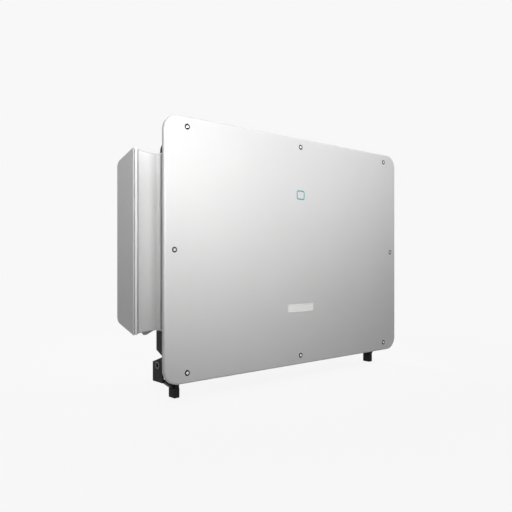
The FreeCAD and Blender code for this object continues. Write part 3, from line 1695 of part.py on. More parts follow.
def make_cable_entries():
    """The gland plate for the power cables, its four glands and the two signal glands."""
    plate_low = casing_low - 3
    plate = body("GlandPlate")
    outline = sketch(plate, "XY_Plane", "GlandPlateOutline", plate_low)
    draw_path(
        outline,
        round_rectangle(
            gland_middle - GLAND_PLATE_HALF,
            gland_middle + GLAND_PLATE_HALF,
            gland_y - GLAND_PLATE_REACH,
            gland_y + GLAND_PLATE_REACH,
            as_size(12),
        ),
    )
    pad(plate, outline, "GlandPlatePad", casing_low - plate_low)
    ways = sketch(plate, "XY_Plane", "GlandWays", plate_low)
    for x in GLAND_X:
        draw_circle(ways, x, gland_y, dim.gland_bore + 3 + dim.fit_gap)
    for x, y in PLATE_SCREWS:
        draw_circle(ways, x, y, 2.6)
    pocket(plate, ways, "GlandPlateHoles", casing_low - plate_low, reverse=True)
    subpart(plate, "gland_plate")
    power = gland("PowerGland", dim.gland_radius, dim.gland_bore, plate_low, dim.gland_drop)
    subpart(copies("PowerGlands", power, [(x, gland_y, 0) for x in GLAND_X]), "power_glands")
    signal = gland("SignalGland", dim.small_gland_radius, dim.small_gland_bore, casing_low, 26)
    subpart(copies("SignalGlands", signal, [(x, y, 0) for x, y in SMALL_GLANDS]), "signal_glands")
    screw = fuse(
        "PlateScrew",
        [
            prism("PlateScrewHead", 6, "Z", 4.5, (plate_low - 3, plate_low)),
            rod("PlateScrewShank", "Z", 2.5, (plate_low, casing_low)),
        ],
    )
    subpart(copies("PlateScrews", screw, [(x, y, 0) for x, y in PLATE_SCREWS]), "gland_plate_screws")


PLATE_SCREWS = [
    (gland_middle + side * (GLAND_PLATE_HALF - 6), gland_y + level * (GLAND_PLATE_REACH - 6))
    for side in (-1, 1)
    for level in (-1, 1)
]


def make_vent_and_earth():
    """A pressure-equalising vent and the stud for the protective earth."""
    x, y = VENT
    cap = rod("VentCap", "Z", 9, (casing_low - 6, casing_low), x, y)
    stem = rod("VentStem", "Z", 5, (casing_low, casing_floor + 5), x, y)
    subpart(fuse("Vent", [cap, stem]), "vent_valve")
    pieces = [
        rod("EarthStud", "Z", 5, (casing_low - 26, casing_floor + 8), EARTH_X, knob_y),
        prism("EarthNut", 6, "Z", 9.5, (casing_low - 7, casing_low), EARTH_X, knob_y),
        prism("EarthInnerNut", 6, "Z", 9.5, (casing_floor, casing_floor + 6), EARTH_X, knob_y),
    ]
    subpart(fuse("EarthTerminal", pieces), "earth_terminal")


# ---------------------------------------------------------------- electronics inside the casing

power_back = casing_inside - dim.board_gap
power_face = power_back - dim.board_thickness
control_back = casing_inside - dim.control_gap
power_low = sink_low + 30
power_high = sink_high - 30
power_rise = power_high - power_low
POWER_HALF = sink_x + 34
POST_X = sink_x + 14


def centred(number, count, pitch):
    """The place of one of a row of pieces whose middle is the centre line."""
    return pitch * (number - (count - 1) / 2)


def blocks(name, label, width, depth, height, places):
    """Equal blocks, each from its lowest middle point at the back."""
    one = add("Part::Box", f"{name}One")
    bind(one, "Length", width)
    bind(one, "Width", depth)
    bind(one, "Height", height)
    place(one, -as_size(width) / 2, -as_size(depth), 0)
    return subpart(copies(name, one, places), label)


def make_boards():
    """The circuit boards and the posts that hold them off the casing's back wall."""
    power = slab("PowerBoard", (-POWER_HALF, POWER_HALF), (power_face, power_back), (power_low, power_high))
    subpart(power, "power_board")
    heights = [power_low + 20 + (power_rise - 40) * (step / 3) for step in range(4)]
    post = prism("BoardPost", 6, "Y", 5, (power_back, casing_inside))
    places = [(side * POST_X, 0, z) for side in (-1, 1) for z in heights]
    long_posts = copies("PowerPosts", post, places)

    control_low = power_high - power_rise * 0.434
    control_rise = power_rise * 0.34
    control_half = 150
    control_face = control_back - dim.board_thickness
    control = slab(
        "ControlBoard",
        (as_size(-control_half), as_size(control_half)),
        (control_face, control_back),
        (control_low, control_low + control_rise),
    )
    stem = prism("ControlPost", 6, "Y", 4, (control_back, power_face))
    corners = [
        (side * (control_half - 8), 0, z)
        for side in (-1, 1)
        for z in (control_low + 8, control_low + control_rise - 8)
    ]
    short_posts = copies("ControlPosts", stem, corners)
    parts = [(-90, 40, 46, 60), (0, 70, 34, 34), (80, 90, 60, 40), (60, 20, 80, 26)]
    chips = [
        slab(
            f"Chip_{number}",
            (as_size(x - wide / 2), as_size(x + wide / 2)),
            (control_face - 6, control_face),
            (control_low + z, control_low + z + tall),
        )
        for number, (x, z, wide, tall) in enumerate(parts)
    ]
    subpart(fuse("ControlAssembly", [control] + chips), "control_board")
    input_low = casing_floor + 26
    input_back = casing_inside - 8
    board_x = (CONNECTOR_X[0] - 20, CONNECTOR_X[8] + 20)
    board_y = (input_back - dim.board_thickness, input_back)
    subpart(slab("InputBoard", board_x, board_y, (input_low, input_low + 52)), "input_board")
    peg = prism("InputPost", 6, "Y", 4, (input_back, casing_inside))
    middle = (board_x[0] + board_x[1]) / 2
    pegs = copies(
        "InputPosts", peg, [(x, 0, input_low + 26) for x in (board_x[0] + 12, middle, board_x[1] - 12)]
    )
    subpart(group("BoardPosts", [long_posts, short_posts, pegs]), "board_posts")


def make_power_stage():
    """Power modules pressed on the heat sink, link capacitors, relays, sensors and chokes."""
    module_depth = casing_back - power_back
    row_low = power_low + power_rise * 0.2075
    row_high = power_low + power_rise * 0.623
    spots = [
        (centred(number, 6, sink_x * 0.3), casing_back, level)
        for level in (row_low, row_high)
        for number in range(6)
    ]
    blocks("PowerModules", "power_modules", 96, module_depth, 60, spots)
    spots = [(centred(number, 8, sink_x * 0.215), power_face, row_low + 78) for number in range(8)]
    blocks("LinkCapacitors", "link_capacitors", 62, 44, power_rise * 0.18, spots)
    spots = [(sink_x * (0.375 + 0.155 * number), power_face, power_low + 44) for number in range(4)]
    blocks("Relays", "grid_relays", 50, 38, 44, spots)
    choke_z = power_low + 66
    ring = prism("ChokeRing", 16, "Y", 36, (power_face - 24, power_face), 0, 0, choke_z)
    eye = prism("ChokeEye", 8, "Y", 15, (power_face - 25, power_face + 1), 0, 0, choke_z)
    choke = cut("Choke", ring, eye)
    places = [(sink_x * (0.275 * number - 0.825), 0, 0) for number in range(4)]
    subpart(copies("Chokes", choke, places), "filter_chokes")


terminal_low = casing_floor + 34


def make_terminals():
    """The output terminal block, its busbars, the arresters and the input board above the sockets."""
    base_depth = 36
    block = slab(
        "TerminalBase",
        (GLAND_X[0] - 30, GLAND_X[-1] + 30),
        (casing_inside - base_depth, casing_inside),
        (terminal_low, terminal_low + 40),
    )
    walls = [
        slab(
            f"TerminalWall_{number}",
            (x - dim.gland_pitch / 2 - 2, x - dim.gland_pitch / 2 + 2),
            (casing_inside - base_depth - 12, casing_inside - base_depth),
            (terminal_low, terminal_low + 40),
        )
        for number, x in enumerate(GLAND_X[1:])
    ]
    terminals = fuse("TerminalBlock", [block] + walls)
    bar_face = casing_inside - base_depth - 3
    bar = body("Busbar")
    profile = sketch(bar, "YZ_Plane", "BusbarProfile")
    low = terminal_low + 6
    bend = terminal_low + 70
    board_contact = power_face
    draw_polygon(
        profile,
        [
            (bar_face, low),
            (bar_face + 3, low),
            (bar_face + 3, bend),
            (board_contact - 3, bend + 30),
            (board_contact - 3, power_low + 6),
            (board_contact, power_low + 6),
            (board_contact, power_low + 34),
            (board_contact - 6, power_low + 34),
            (board_contact - 6, bend + 31),
            (bar_face, bend + 1),
        ],
    )
    pad(bar, profile, "BusbarPad", 24, symmetric=True)
    subpart(copies("Busbars", bar, [(x, 0, 0) for x in GLAND_X[:3]]), "busbars")
    sensor = cut(
        "CurrentSensor",
        slab(
            "SensorBlock",
            (as_size(-24), as_size(24)),
            (bar_face - 14, casing_inside - base_depth + 13),
            (terminal_low + 40, terminal_low + 58),
        ),
        slab(
            "SensorWindow",
            (as_size(-13), as_size(13)),
            (bar_face - 1, bar_face + 4),
            (terminal_low + 39, terminal_low + 59),
        ),
    )
    sensors = copies("CurrentSensors", sensor, [(x, 0, 0) for x in GLAND_X[:3]])
    subpart(group("OutputTerminals", [terminals, sensors]), "output_terminals")
    spots = [(-60 + 36 * number, casing_inside, casing_floor + 30) for number in range(4)]
    blocks("Arresters", "surge_arresters", 34, 46, 58, spots)


def make_inductors():
    """Potted inductors on the back of the duct, inside the rear housing."""
    room = housing_back - dim.sheet_metal - duct_back
    bolt_rise = dim.rail_height / 2 - RAIL_BOLT_INSET
    depth = room - 11
    low = housing_mid + bolt_rise - 132
    pitch = (duct_x - 43) * 0.4
    spots = [(centred(number, 6, pitch), duct_back + depth, low) for number in range(6)]
    blocks("BoostInductors", "boost_inductors", 104, depth, 120, spots)
    depth = room - 7
    low = housing_mid - bolt_rise + 20
    spots = [(centred(number, 3, duct_x - 118), duct_back + depth, low) for number in range(3)]
    blocks("OutputInductors", "output_inductors", 170, depth, 170, spots)


make_string_connectors()
make_switches()
make_cable_entries()
make_vent_and_earth()
make_boards()
make_power_stage()
make_terminals()
make_inductors()


# ---------------------------------------------------------------- checks and files

doc.recompute()
for item in doc.Objects:
    if "Invalid" in item.State or "Error" in item.State:
        raise RuntimeError(f"{item.Name} did not build: {item.State}")
for node in NODES:
    if node.Shape.isNull() or not node.Shape.isValid():
        raise RuntimeError(f"{node.Label} has no valid shape")
os.makedirs("parts", exist_ok=True)
for node in NODES:
    node.Shape.exportStep(f"parts/{node.Label}.step")
    print(node.Label, len(node.Shape.Solids), round(node.Shape.Volume))
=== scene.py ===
import json
import math

import bmesh
import bpy
from mathutils import Matrix, Vector


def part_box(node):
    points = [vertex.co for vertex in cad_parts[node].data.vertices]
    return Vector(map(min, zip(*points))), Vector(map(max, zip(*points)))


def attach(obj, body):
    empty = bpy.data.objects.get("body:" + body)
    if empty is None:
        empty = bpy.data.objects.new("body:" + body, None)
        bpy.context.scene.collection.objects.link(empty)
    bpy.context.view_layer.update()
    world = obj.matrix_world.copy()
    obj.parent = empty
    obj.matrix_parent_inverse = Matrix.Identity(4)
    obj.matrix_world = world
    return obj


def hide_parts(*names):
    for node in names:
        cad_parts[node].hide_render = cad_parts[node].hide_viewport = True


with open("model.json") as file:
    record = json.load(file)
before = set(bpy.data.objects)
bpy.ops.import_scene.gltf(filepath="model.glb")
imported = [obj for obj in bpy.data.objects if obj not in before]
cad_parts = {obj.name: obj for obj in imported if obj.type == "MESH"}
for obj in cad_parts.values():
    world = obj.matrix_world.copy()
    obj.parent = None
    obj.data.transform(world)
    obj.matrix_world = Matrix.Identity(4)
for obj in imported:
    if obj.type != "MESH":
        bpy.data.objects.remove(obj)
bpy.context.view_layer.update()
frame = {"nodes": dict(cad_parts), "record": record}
nodes = frame["nodes"]
record = frame["record"]
slot_of = {part["node"]: part["material_slot"] for part in record["subparts"]}
body_of = {
    member: body for body, members in record["behaviour"]["bodies"].items() for member in members
}
MM = 0.001
NOISE_REACH = (0.3, 0.7)  # most of a noise's values lie in here
FINE_JOIN = 0.000001
SPUN_JOIN = 0.000002
TOUCH = 0.00001

# ---------------------------------------------------------------- camera, lamps, floor and backdrop

CAMERA_PLACE = (-1.4485, -1.6166, 0.4354)
CAMERA_TURN = -40.69
CAMERA_LENS = 39.71
CAMERA_RISE = 0.006
CAMERA_FILM = 36
CAMERA_NEAR = 0.05
CAMERA_FAR = 60
BACKDROP_GREY = 0.938
FLOOR_GREY = 0.88
FLOOR_BOUNCE = 0.46
FLOOR_BLEND = 0.88
FLOOR_NEAR = 0.3
FLOOR_CLEAR = 1.6
FLOOR_RADIUS = 12
PAPER_TOOTH = 260
ROOM_LIGHT = 0.2
# name, place, target, side, spread in degrees, power
SOFTBOXES = [
    ("left_softbox", (-1.4, -1.75, 0.95), (-0.5, 0.0, 0.78), 0.4, 50, 2.95),
    ("low_softbox", (-0.9, -1.8, 0.25), (-0.45, 0.0, 0.3), 0.5, 60, 0.27),
    ("high_softbox", (-1.3, -1.65, 1.9), (-0.5, 0.0, 0.8), 0.5, 50, 0.72),
    ("middle_softbox", (0.0, -1.8, 1.5), (0.0, -0.18, 1.0), 0.9, 50, 0.85),
    ("right_softbox", (0.7, -1.2, 1.6), (0.35, -0.18, 0.85), 0.9, 70, 2.9),
    ("rear_softbox", (0.7, 2.4, 1.5), (0.0, 0.2, 0.45), 1.2, 90, 11.0),
]


class Wiring:
    """A node tree that is filled one node at a time."""

    def __init__(self, tree):
        self.tree = tree
        tree.nodes.clear()

    def node(self, kind, values=None, **settings):
        made = self.tree.nodes.new(kind)
        for key, value in settings.items():
            setattr(made, key, value)
        for socket, value in (values or {}).items():
            if isinstance(value, bpy.types.NodeSocket):
                self.tree.links.new(value, made.inputs[socket])
            else:
                made.inputs[socket].default_value = value
        return made

    def math(self, operation, first, second):
        return self.node("ShaderNodeMath", {0: first, 1: second}, operation=operation).outputs[0]

    def span(self, value, low, high, to_low, to_high):
        """A value carried from one range to another and held there."""
        values = {0: value, 1: low, 2: high, 3: to_low, 4: to_high}
        return self.node("ShaderNodeMapRange", values, clamp=True).outputs[0]

    def where(self, stretch=(1, 1, 1)):
        """Places on the piece in metres, stretched where a pattern runs one way."""
        place = self.node("ShaderNodeTexCoord").outputs["Object"]
        return self.node("ShaderNodeMapping", {"Vector": place, "Scale": stretch}).outputs[0]

    def noise(self, place, scale, detail=2.0, roughness=0.5):
        values = {"Vector": place, "Scale": scale, "Detail": detail, "Roughness": roughness}
        return self.node("ShaderNodeTexNoise", values).outputs["Fac"]

    def tint(self, factor, first, second):
        """One colour mixed into another."""
        made = self.node("ShaderNodeMix", data_type="RGBA")
        for number, value in ((0, factor), (6, first), (7, second)):
            if isinstance(value, bpy.types.NodeSocket):
                self.tree.links.new(value, made.inputs[number])
            else:
                made.inputs[number].default_value = value if number == 0 else (*value, 1)
        return made.outputs[2]

    def bump(self, height, strength, distance):
        values = {"Height": height, "Strength": strength, "Distance": distance}
        return self.node("ShaderNodeBump", values).outputs[0]

    def output(self, shader, kind="ShaderNodeOutputMaterial"):
        self.node(kind, {"Surface": shader})


def set_camera():
    """A level camera at the height of the object's lower half."""
    lens = bpy.data.cameras.new("camera")
    lens.lens = CAMERA_LENS
    lens.sensor_width = CAMERA_FILM
    lens.shift_y = CAMERA_RISE
    lens.clip_start = CAMERA_NEAR
    lens.clip_end = CAMERA_FAR
    camera = bpy.data.objects.new("camera", lens)
    camera.location = CAMERA_PLACE
    camera.rotation_euler = (math.radians(90), 0, math.radians(CAMERA_TURN))
    bpy.context.scene.collection.objects.link(camera)
    bpy.context.scene.camera = camera


def add_softbox(name, place, target, side, spread, power):
    """A square softbox with a grid in front of it, which keeps its light together."""
    lamp = bpy.data.lights.new(name, "AREA")
    lamp.shape = "SQUARE"
    lamp.size = side
    lamp.spread = math.radians(spread)
    lamp.energy = power
    holder = bpy.data.objects.new(name, lamp)
    holder.location = place
    holder.rotation_euler = (Vector(target) - Vector(place)).to_track_quat("-Z", "Y").to_euler()
    holder.visible_camera = False
    bpy.context.scene.collection.objects.link(holder)


def seen_plainly(wire):
    """One where a ray looks straight at the backdrop, or sees it in metal or through glass."""
    rays = wire.node("ShaderNodeLightPath").outputs
    direct = wire.math("MAXIMUM", rays["Is Camera Ray"], rays["Is Transmission Ray"])
    return wire.math("MAXIMUM", direct, rays["Is Glossy Ray"])


def set_studio():
    """A pale backdrop all round, which gives the object only a little even light."""
    world = bpy.data.worlds.new("studio")
    bpy.context.scene.world = world
    world.use_nodes = True
    wire = Wiring(world.node_tree)
    shown = wire.node("ShaderNodeBackground", {"Color": (BACKDROP_GREY,) * 3 + (1,), "Strength": 1.0})
    lit = wire.node("ShaderNodeBackground", {"Color": (1, 1, 1, 1), "Strength": ROOM_LIGHT})
    both = wire.node(
        "ShaderNodeMixShader", {0: seen_plainly(wire), 1: lit.outputs[0], 2: shown.outputs[0]}
    )
    wire.output(both.outputs[0], "ShaderNodeOutputWorld")


def make_floor():
    """A wide pale floor that keeps a soft shadow close to the object and fades into the backdrop."""
    shape = bmesh.new()
    bmesh.ops.create_circle(shape, cap_ends=True, segments=96, radius=FLOOR_RADIUS)
    mesh = bpy.data.meshes.new("floor")
    shape.to_mesh(mesh)
    shape.free()
    floor = bpy.data.objects.new("floor", mesh)
    bpy.context.scene.collection.objects.link(floor)
    material = bpy.data.materials.new("floor_paper")
    material.use_nodes = True
    wire = Wiring(material.node_tree)
    place = wire.where((1, 1, 0))
    reach = wire.node("ShaderNodeVectorMath", {0: place}, operation="LENGTH").outputs["Value"]
    tooth = wire.noise(place, PAPER_TOOTH)
    plain = seen_plainly(wire)
    tone = wire.span(plain, 0, 1, FLOOR_BOUNCE, FLOOR_GREY)
    paper = wire.math("MULTIPLY", tone, wire.span(tooth, *NOISE_REACH, 0.97, 1.03))
    matt = wire.node("ShaderNodeBsdfDiffuse", {"Color": paper})
    level = wire.span(reach, FLOOR_NEAR, FLOOR_CLEAR, 1.0, BACKDROP_GREY)
    bare = wire.node("ShaderNodeEmission", {"Color": (1, 1, 1, 1), "Strength": level})
    fade = wire.math("MULTIPLY", plain, wire.span(reach, FLOOR_NEAR, FLOOR_CLEAR, FLOOR_BLEND, 1.0))
    both = wire.node("ShaderNodeMixShader", {0: fade, 1: matt.outputs[0], 2: bare.outputs[0]})
    wire.output(both.outputs[0])
    mesh.materials.append(material)


# ---------------------------------------------------------------- finishes


def start_finish(name):
    """An empty material and the wiring of its nodes."""
    material = bpy.data.materials.new(name)
    material.use_nodes = True
    return material, Wiring(material.node_tree)


def shade(colour, amount):
    """A colour made lighter or darker and held between black and white."""
    return tuple(min(1.0, max(0.0, part * amount)) for part in colour)


def close_finish(wire, values, **linked):
    """Joins plain values and node outputs to the surface shader."""
    shader = wire.node("ShaderNodeBsdfPrincipled", values)
    for socket, value in linked.items():
        wire.tree.links.new(value, shader.inputs[socket.replace("_", " ")])
    wire.output(shader.outputs[0])


def powder_coat(name, colour, roughness, peel, mottle, flake):
    """A baked coat: fine orange-peel skin, faint cloudiness, and a gloss that wanders a little."""
    material, wire = start_finish(name)
    place = wire.where()
    cloud = wire.noise(place, 5, 3)
    speck = wire.noise(place, 1400, 1)
    skin = wire.noise(place, 520, 2, 0.6)
    clouds = wire.span(cloud, *NOISE_REACH, 0, 1)
    tone = wire.tint(clouds, shade(colour, 1 - mottle), shade(colour, 1 + mottle))
    dusted = wire.tint(wire.span(speck, 0.35, 0.75, 0, flake), tone, shade(colour, 1.25))
    gloss = wire.span(wire.noise(place, 22, 3), *NOISE_REACH, roughness - 0.035, roughness + 0.035)
    close_finish(
        wire,
        {"IOR": 1.5},
        Base_Color=dusted,
        Roughness=gloss,
        Normal=wire.bump(skin, peel, 0.0004),
    )
    return material


def textured_coat(name, colour, roughness):
    """A dark wrinkle coat: tight pebbles whose crests are painted lighter, a painted highlight where they
    would catch the light.
    """
    material, wire = start_finish(name)
    place = wire.where()
    pebble = wire.noise(place, 900, 2, 0.55)
    cloud = wire.noise(place, 9, 3)
    base = wire.tint(wire.span(cloud, *NOISE_REACH, 0, 1), shade(colour, 0.85), shade(colour, 1.15))
    # Painted highlight: the colour is lighter on the pebbles' crests.
    crest_highlight = wire.tint(wire.span(pebble, 0.5, 0.72, 0, 0.5), base, shade(colour, 2.1))
    close_finish(
        wire,
        {"IOR": 1.5, "Specular IOR Level": 0.2},
        Base_Color=crest_highlight,
        Roughness=wire.span(pebble, *NOISE_REACH, roughness - 0.08, roughness + 0.08),
        Normal=wire.bump(pebble, 0.35, 0.0006),
    )
    return material


def casting(name, colour, roughness):
    """Painted casting: a sand-cast undulation below a thin coat."""
    material, wire = start_finish(name)
    place = wire.where()
    sand = wire.noise(place, 340, 4, 0.62)
    wave = wire.noise(place, 40, 2)
    height = wire.math("ADD", sand, wire.math("MULTIPLY", wave, 1.6))
    tone = wire.tint(wire.span(sand, 0.35, 0.7, 0, 1), shade(colour, 0.7), shade(colour, 1.5))
    close_finish(
        wire,
        {"IOR": 1.5, "Specular IOR Level": 0.14},
        Base_Color=tone,
        Roughness=wire.span(wave, *NOISE_REACH, roughness - 0.07, roughness + 0.07),
        Normal=wire.bump(height, 0.3, 0.0007),
    )
    return material


def moulding(name, colour, roughness, spark=1200, depth=0.12, mottle=0.06):
    """Moulded plastic with the fine spark texture of its tool."""
    material, wire = start_finish(name)
    place = wire.where()
    pits = wire.noise(place, spark, 2, 0.5)
    flow = wire.noise(wire.where((1, 1, 0.3)), 26, 3)
    streaks = wire.span(flow, *NOISE_REACH, 0, 1)
    tone = wire.tint(streaks, shade(colour, 1 - mottle), shade(colour, 1 + 2 * mottle))
    close_finish(
        wire,
        {"IOR": 1.48},
        Base_Color=tone,
        Roughness=wire.span(pits, *NOISE_REACH, roughness - 0.05, roughness + 0.05),
        Normal=wire.bump(pits, depth, 0.0003),
    )
    return material


def rubber(name, colour, roughness):
    """Soft rubber with a bloom of dust in its pores."""
    material, wire = start_finish(name)
    place = wire.where()
    pores = wire.noise(place, 800, 3, 0.6)
    bloom = wire.noise(place, 30, 4)
    tone = wire.tint(wire.span(bloom, 0.45, 0.8, 0, 1), colour, shade(colour, 1.9))
    close_finish(
        wire,
        {"IOR": 1.45, "Specular IOR Level": 0.22},
        Base_Color=tone,
        Roughness=wire.span(pores, *NOISE_REACH, roughness - 0.06, roughness + 0.06),
        Normal=wire.bump(pores, 0.22, 0.0005),
    )
    return material


def brushed(name, colour, roughness, along, stroke=1500):
    """Metal with fine strokes that run one way."""
    material, wire = start_finish(name)
    long_strokes = wire.noise(wire.where(along), stroke, 2, 0.6)
    haze = wire.noise(wire.where(), 18, 3)
    tone = wire.tint(wire.span(long_strokes, *NOISE_REACH, 0, 1), shade(colour, 0.88), shade(colour, 1.08))
    rough = wire.math(
        "ADD",
        wire.span(long_strokes, *NOISE_REACH, roughness - 0.08, roughness + 0.08),
        wire.span(haze, *NOISE_REACH, -0.04, 0.04),
    )
    close_finish(
        wire,
        {"Metallic": 1.0},
        Base_Color=tone,
        Roughness=rough,
        Normal=wire.bump(long_strokes, 0.1, 0.0002),
    )
    return material


def glow(name, colour, light):
    """A light guide: milky, lit from behind, a little brighter where the lamps sit."""
    material, wire = start_finish(name)
    place = wire.where()
    lamps = wire.noise(place, 60, 2)
    tone = wire.tint(wire.span(lamps, *NOISE_REACH, 0, 1), shade(light, 0.9), shade(light, 1.1))
    close_finish(
        wire,
        {"Roughness": 0.35, "IOR": 1.5, "Emission Strength": 0.5, "Base Color": (*colour, 1)},
        Emission_Color=tone,
        Normal=wire.bump(wire.noise(place, 900), 0.05, 0.0002),
    )
    return material


def solder_mask(name, colour):
    """A circuit board: lacquer with copper tracks below it in a square pattern."""
    material, wire = start_finish(name)
    place = wire.where()
    values = {"Vector": place, "Scale": 140.0, "Randomness": 0.85}
    cells = wire.node(
        "ShaderNodeTexVoronoi", values, feature="DISTANCE_TO_EDGE", distance="EUCLIDEAN"
    ).outputs["Distance"]
    track = wire.span(cells, 0.05, 0.09, 0.55, 0)
    dots = wire.noise(place, 700, 2)
    tone = wire.tint(track, colour, shade(colour, 1.9))
    close_finish(
        wire,
        {"IOR": 1.5},
        Base_Color=tone,
        Roughness=wire.span(dots, *NOISE_REACH, 0.28, 0.4),
        Normal=wire.bump(cells, 0.2, 0.0002),
    )
    return material


def winding(name, colour):
    """Varnished wire, turn beside turn, painted darker in the grooves between the turns as painted shade."""
    material, wire = start_finish(name)
    values = {"Vector": wire.where(), "Scale": 260.0, "Distortion": 0.6, "Detail": 1.0}
    turns = wire.node("ShaderNodeTexWave", values, bands_direction="Z").outputs["Fac"]
    close_finish(
        wire,
        {"IOR": 1.52},
        # Painted shade: the colour darkens in the grooves between turns, where the bump is low.
        Base_Color=wire.tint(turns, shade(colour, 0.5), shade(colour, 1.2)),
        Roughness=wire.span(turns, 0, 1, 0.45, 0.28),
        Normal=wire.bump(turns, 0.5, 0.0008),
    )
    return material


LEFT_RIGHT = (0.02, 1, 1)
UP_DOWN = (1, 1, 0.02)
FINISHES = {
    "cover_paint": lambda name: powder_coat(name, (0.63, 0.628, 0.628), 0.5, 0.05, 0.012, 0.1),
    "housing_paint": lambda name: powder_coat(name, (0.875, 0.875, 0.87), 0.45, 0.06, 0.02, 0.08),
    "side_paint": lambda name: powder_coat(name, (0.53, 0.53, 0.53), 0.5, 0.08, 0.02, 0.08),
    "dark_paint": lambda name: textured_coat(name, (0.012, 0.012, 0.013), 0.6),
    "bracket_cast": lambda name: casting(name, (0.007, 0.007, 0.0075), 0.55),
    "bright_steel": lambda name: brushed(name, (0.74, 0.74, 0.73), 0.28, LEFT_RIGHT),
    "rail_steel": lambda name: brushed(name, (0.56, 0.57, 0.58), 0.42, UP_DOWN, 900),
    "sink_aluminium": lambda name: brushed(name, (0.72, 0.73, 0.74), 0.36, UP_DOWN, 1100),
    "seal_rubber": lambda name: rubber(name, (0.009, 0.009, 0.009), 0.62),
    "foot_rubber": lambda name: rubber(name, (0.018, 0.018, 0.018), 0.6),
    "light_guide": lambda name: glow(name, (0.008, 0.16, 0.165), (0.015, 0.38, 0.37)),
    "plate_plastic": lambda name: moulding(name, (0.93, 0.915, 0.9), 0.25, 1600, 0.03, 0.015),
    "black_plastic": lambda name: moulding(name, (0.028, 0.028, 0.03), 0.42),
    "fan_plastic": lambda name: moulding(name, (0.03, 0.03, 0.033), 0.36),
    "knob_plastic": lambda name: moulding(name, (0.04, 0.04, 0.043), 0.48, 900, 0.2),
    "switch_plastic": lambda name: moulding(name, (0.15, 0.15, 0.16), 0.5),
    "grey_plastic": lambda name: moulding(name, (0.31, 0.32, 0.34), 0.48),
    "board_green": lambda name: solder_mask(name, (0.025, 0.17, 0.085)),
    "board_blue": lambda name: solder_mask(name, (0.025, 0.085, 0.2)),
    "module_white": lambda name: moulding(name, (0.74, 0.72, 0.66), 0.5),
    "capacitor_film": lambda name: moulding(name, (0.08, 0.19, 0.48), 0.3, 400, 0.06),
    "copper": lambda name: brushed(name, (0.80, 0.45, 0.30), 0.3, LEFT_RIGHT),
    "core_winding": lambda name: winding(name, (0.45, 0.23, 0.11)),
    "potted_aluminium": lambda name: brushed(name, (0.50, 0.51, 0.52), 0.5, UP_DOWN, 500),
}
made_finishes = {}


def finish(slot):
    """The material of a slot, made the first time it is asked for."""
    if slot not in made_finishes:
        made_finishes[slot] = FINISHES[slot](slot)
    return made_finishes[slot]


# ---------------------------------------------------------------- making and placing pieces

FLAT_ANGLE = 0.6


def close_piece(shape, name, slot, body, stands_for=(), sharp=32, soften=0.0, steps=2, wall=0.0):
    """A finished mesh as a piece of the object: smooth skin, softened edges, finish and body."""
    mesh = bpy.data.meshes.new(name)
    shape.to_mesh(mesh)
    shape.free()
    for face in mesh.polygons:
        face.use_smooth = True
    mesh.set_sharp_from_angle(angle=math.radians(sharp))
    mesh.materials.append(finish(slot))
    piece = bpy.data.objects.new(name, mesh)
    bpy.context.scene.collection.objects.link(piece)
    if wall:
        skin = piece.modifiers.new("wall", "SOLIDIFY")
        skin.thickness = wall
        skin.offset = -1
    if soften:
        edge = piece.modifiers.new("soft_edges", "BEVEL")
        edge.width = soften
        edge.segments = steps
        edge.limit_method = "ANGLE"
        edge.angle_limit = math.radians(sharp)
        edge.harden_normals = True
        edge.use_clamp_overlap = True
    even = piece.modifiers.new("even_normals", "WEIGHTED_NORMAL")
    even.keep_sharp = True
    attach(piece, body)
    for node in stands_for:
        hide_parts(node)


def tidy_faces(shape):
    """Joins points that lie together and turns every face outward."""
    bmesh.ops.remove_doubles(shape, verts=shape.verts, dist=FINE_JOIN)
    bmesh.ops.recalc_face_normals(shape, faces=shape.faces)


def carry(node, soften, steps):
    """The part's own shape with its triangles joined, its flats made whole and its edges softened."""
    shape = bmesh.new()
    shape.from_mesh(nodes[node].data)
    bmesh.ops.remove_doubles(shape, verts=shape.verts, dist=SPUN_JOIN)
    bmesh.ops.dissolve_limit(
        shape,
        angle_limit=math.radians(FLAT_ANGLE),
        verts=shape.verts,
        edges=shape.edges,
        use_dissolve_boundaries=False,
        delimit={"NORMAL"},
    )
    slot, body = slot_of[node], body_of[node]
    close_piece(shape, "dressed_" + node, slot, body, [node], soften=soften, steps=steps)


def paint_inside(node):
    """A part that stays as it is and only takes its finish."""
    data = nodes[node].data
    data.materials.clear()
    data.materials.append(finish(slot_of[node]))


# ---------------------------------------------------------------- front cover and its trim


def add_plate(shape, width, height, radius, middle, steps=8):
    """Adds a rounded rectangle that faces the front, and returns its face."""
    plate = bmesh.new()
    corners = [
        plate.verts.new((across * width / 2, 0, up * height / 2))
        for across, up in ((-1, -1), (1, -1), (1, 1), (-1, 1))
    ]
    plate.faces.new(corners)
    bmesh.ops.bevel(
        plate, geom=corners, offset=radius, segments=steps, profile=0.5, affect="VERTICES", material=-1
    )
    bmesh.ops.translate(plate, vec=middle, verts=plate.verts)
    return add_shape(shape, plate)[0]


def add_shape(shape, other):
    """Moves another shape into this one and returns its faces here."""
    mesh = bpy.data.meshes.new("passed_on")
    other.to_mesh(mesh)
    other.free()
    count = len(shape.faces)
    shape.from_mesh(mesh)
    bpy.data.meshes.remove(mesh)
    shape.faces.ensure_lookup_table()
    return shape.faces[count:]


def edges_of(verts):
    """The edges that meet some points, each once."""
    return list(dict.fromkeys(edge for vert in verts for edge in vert.link_edges))


def add_circle(shape, radius, middle):
    """Adds a circle of edges that faces the front, and returns its edges."""
    turned = Matrix.Translation(middle) @ Matrix.Rotation(math.radians(90), 4, "X")
    made = bmesh.ops.create_circle(shape, cap_ends=False, segments=32, radius=radius, matrix=turned)
    return edges_of(made["verts"])


def only_rim(shape, face):
    """Takes a face away and returns the edges it leaves."""
    rim = list(face.edges)
    bmesh.ops.delete(shape, geom=[face], context="FACES_ONLY")
    return rim


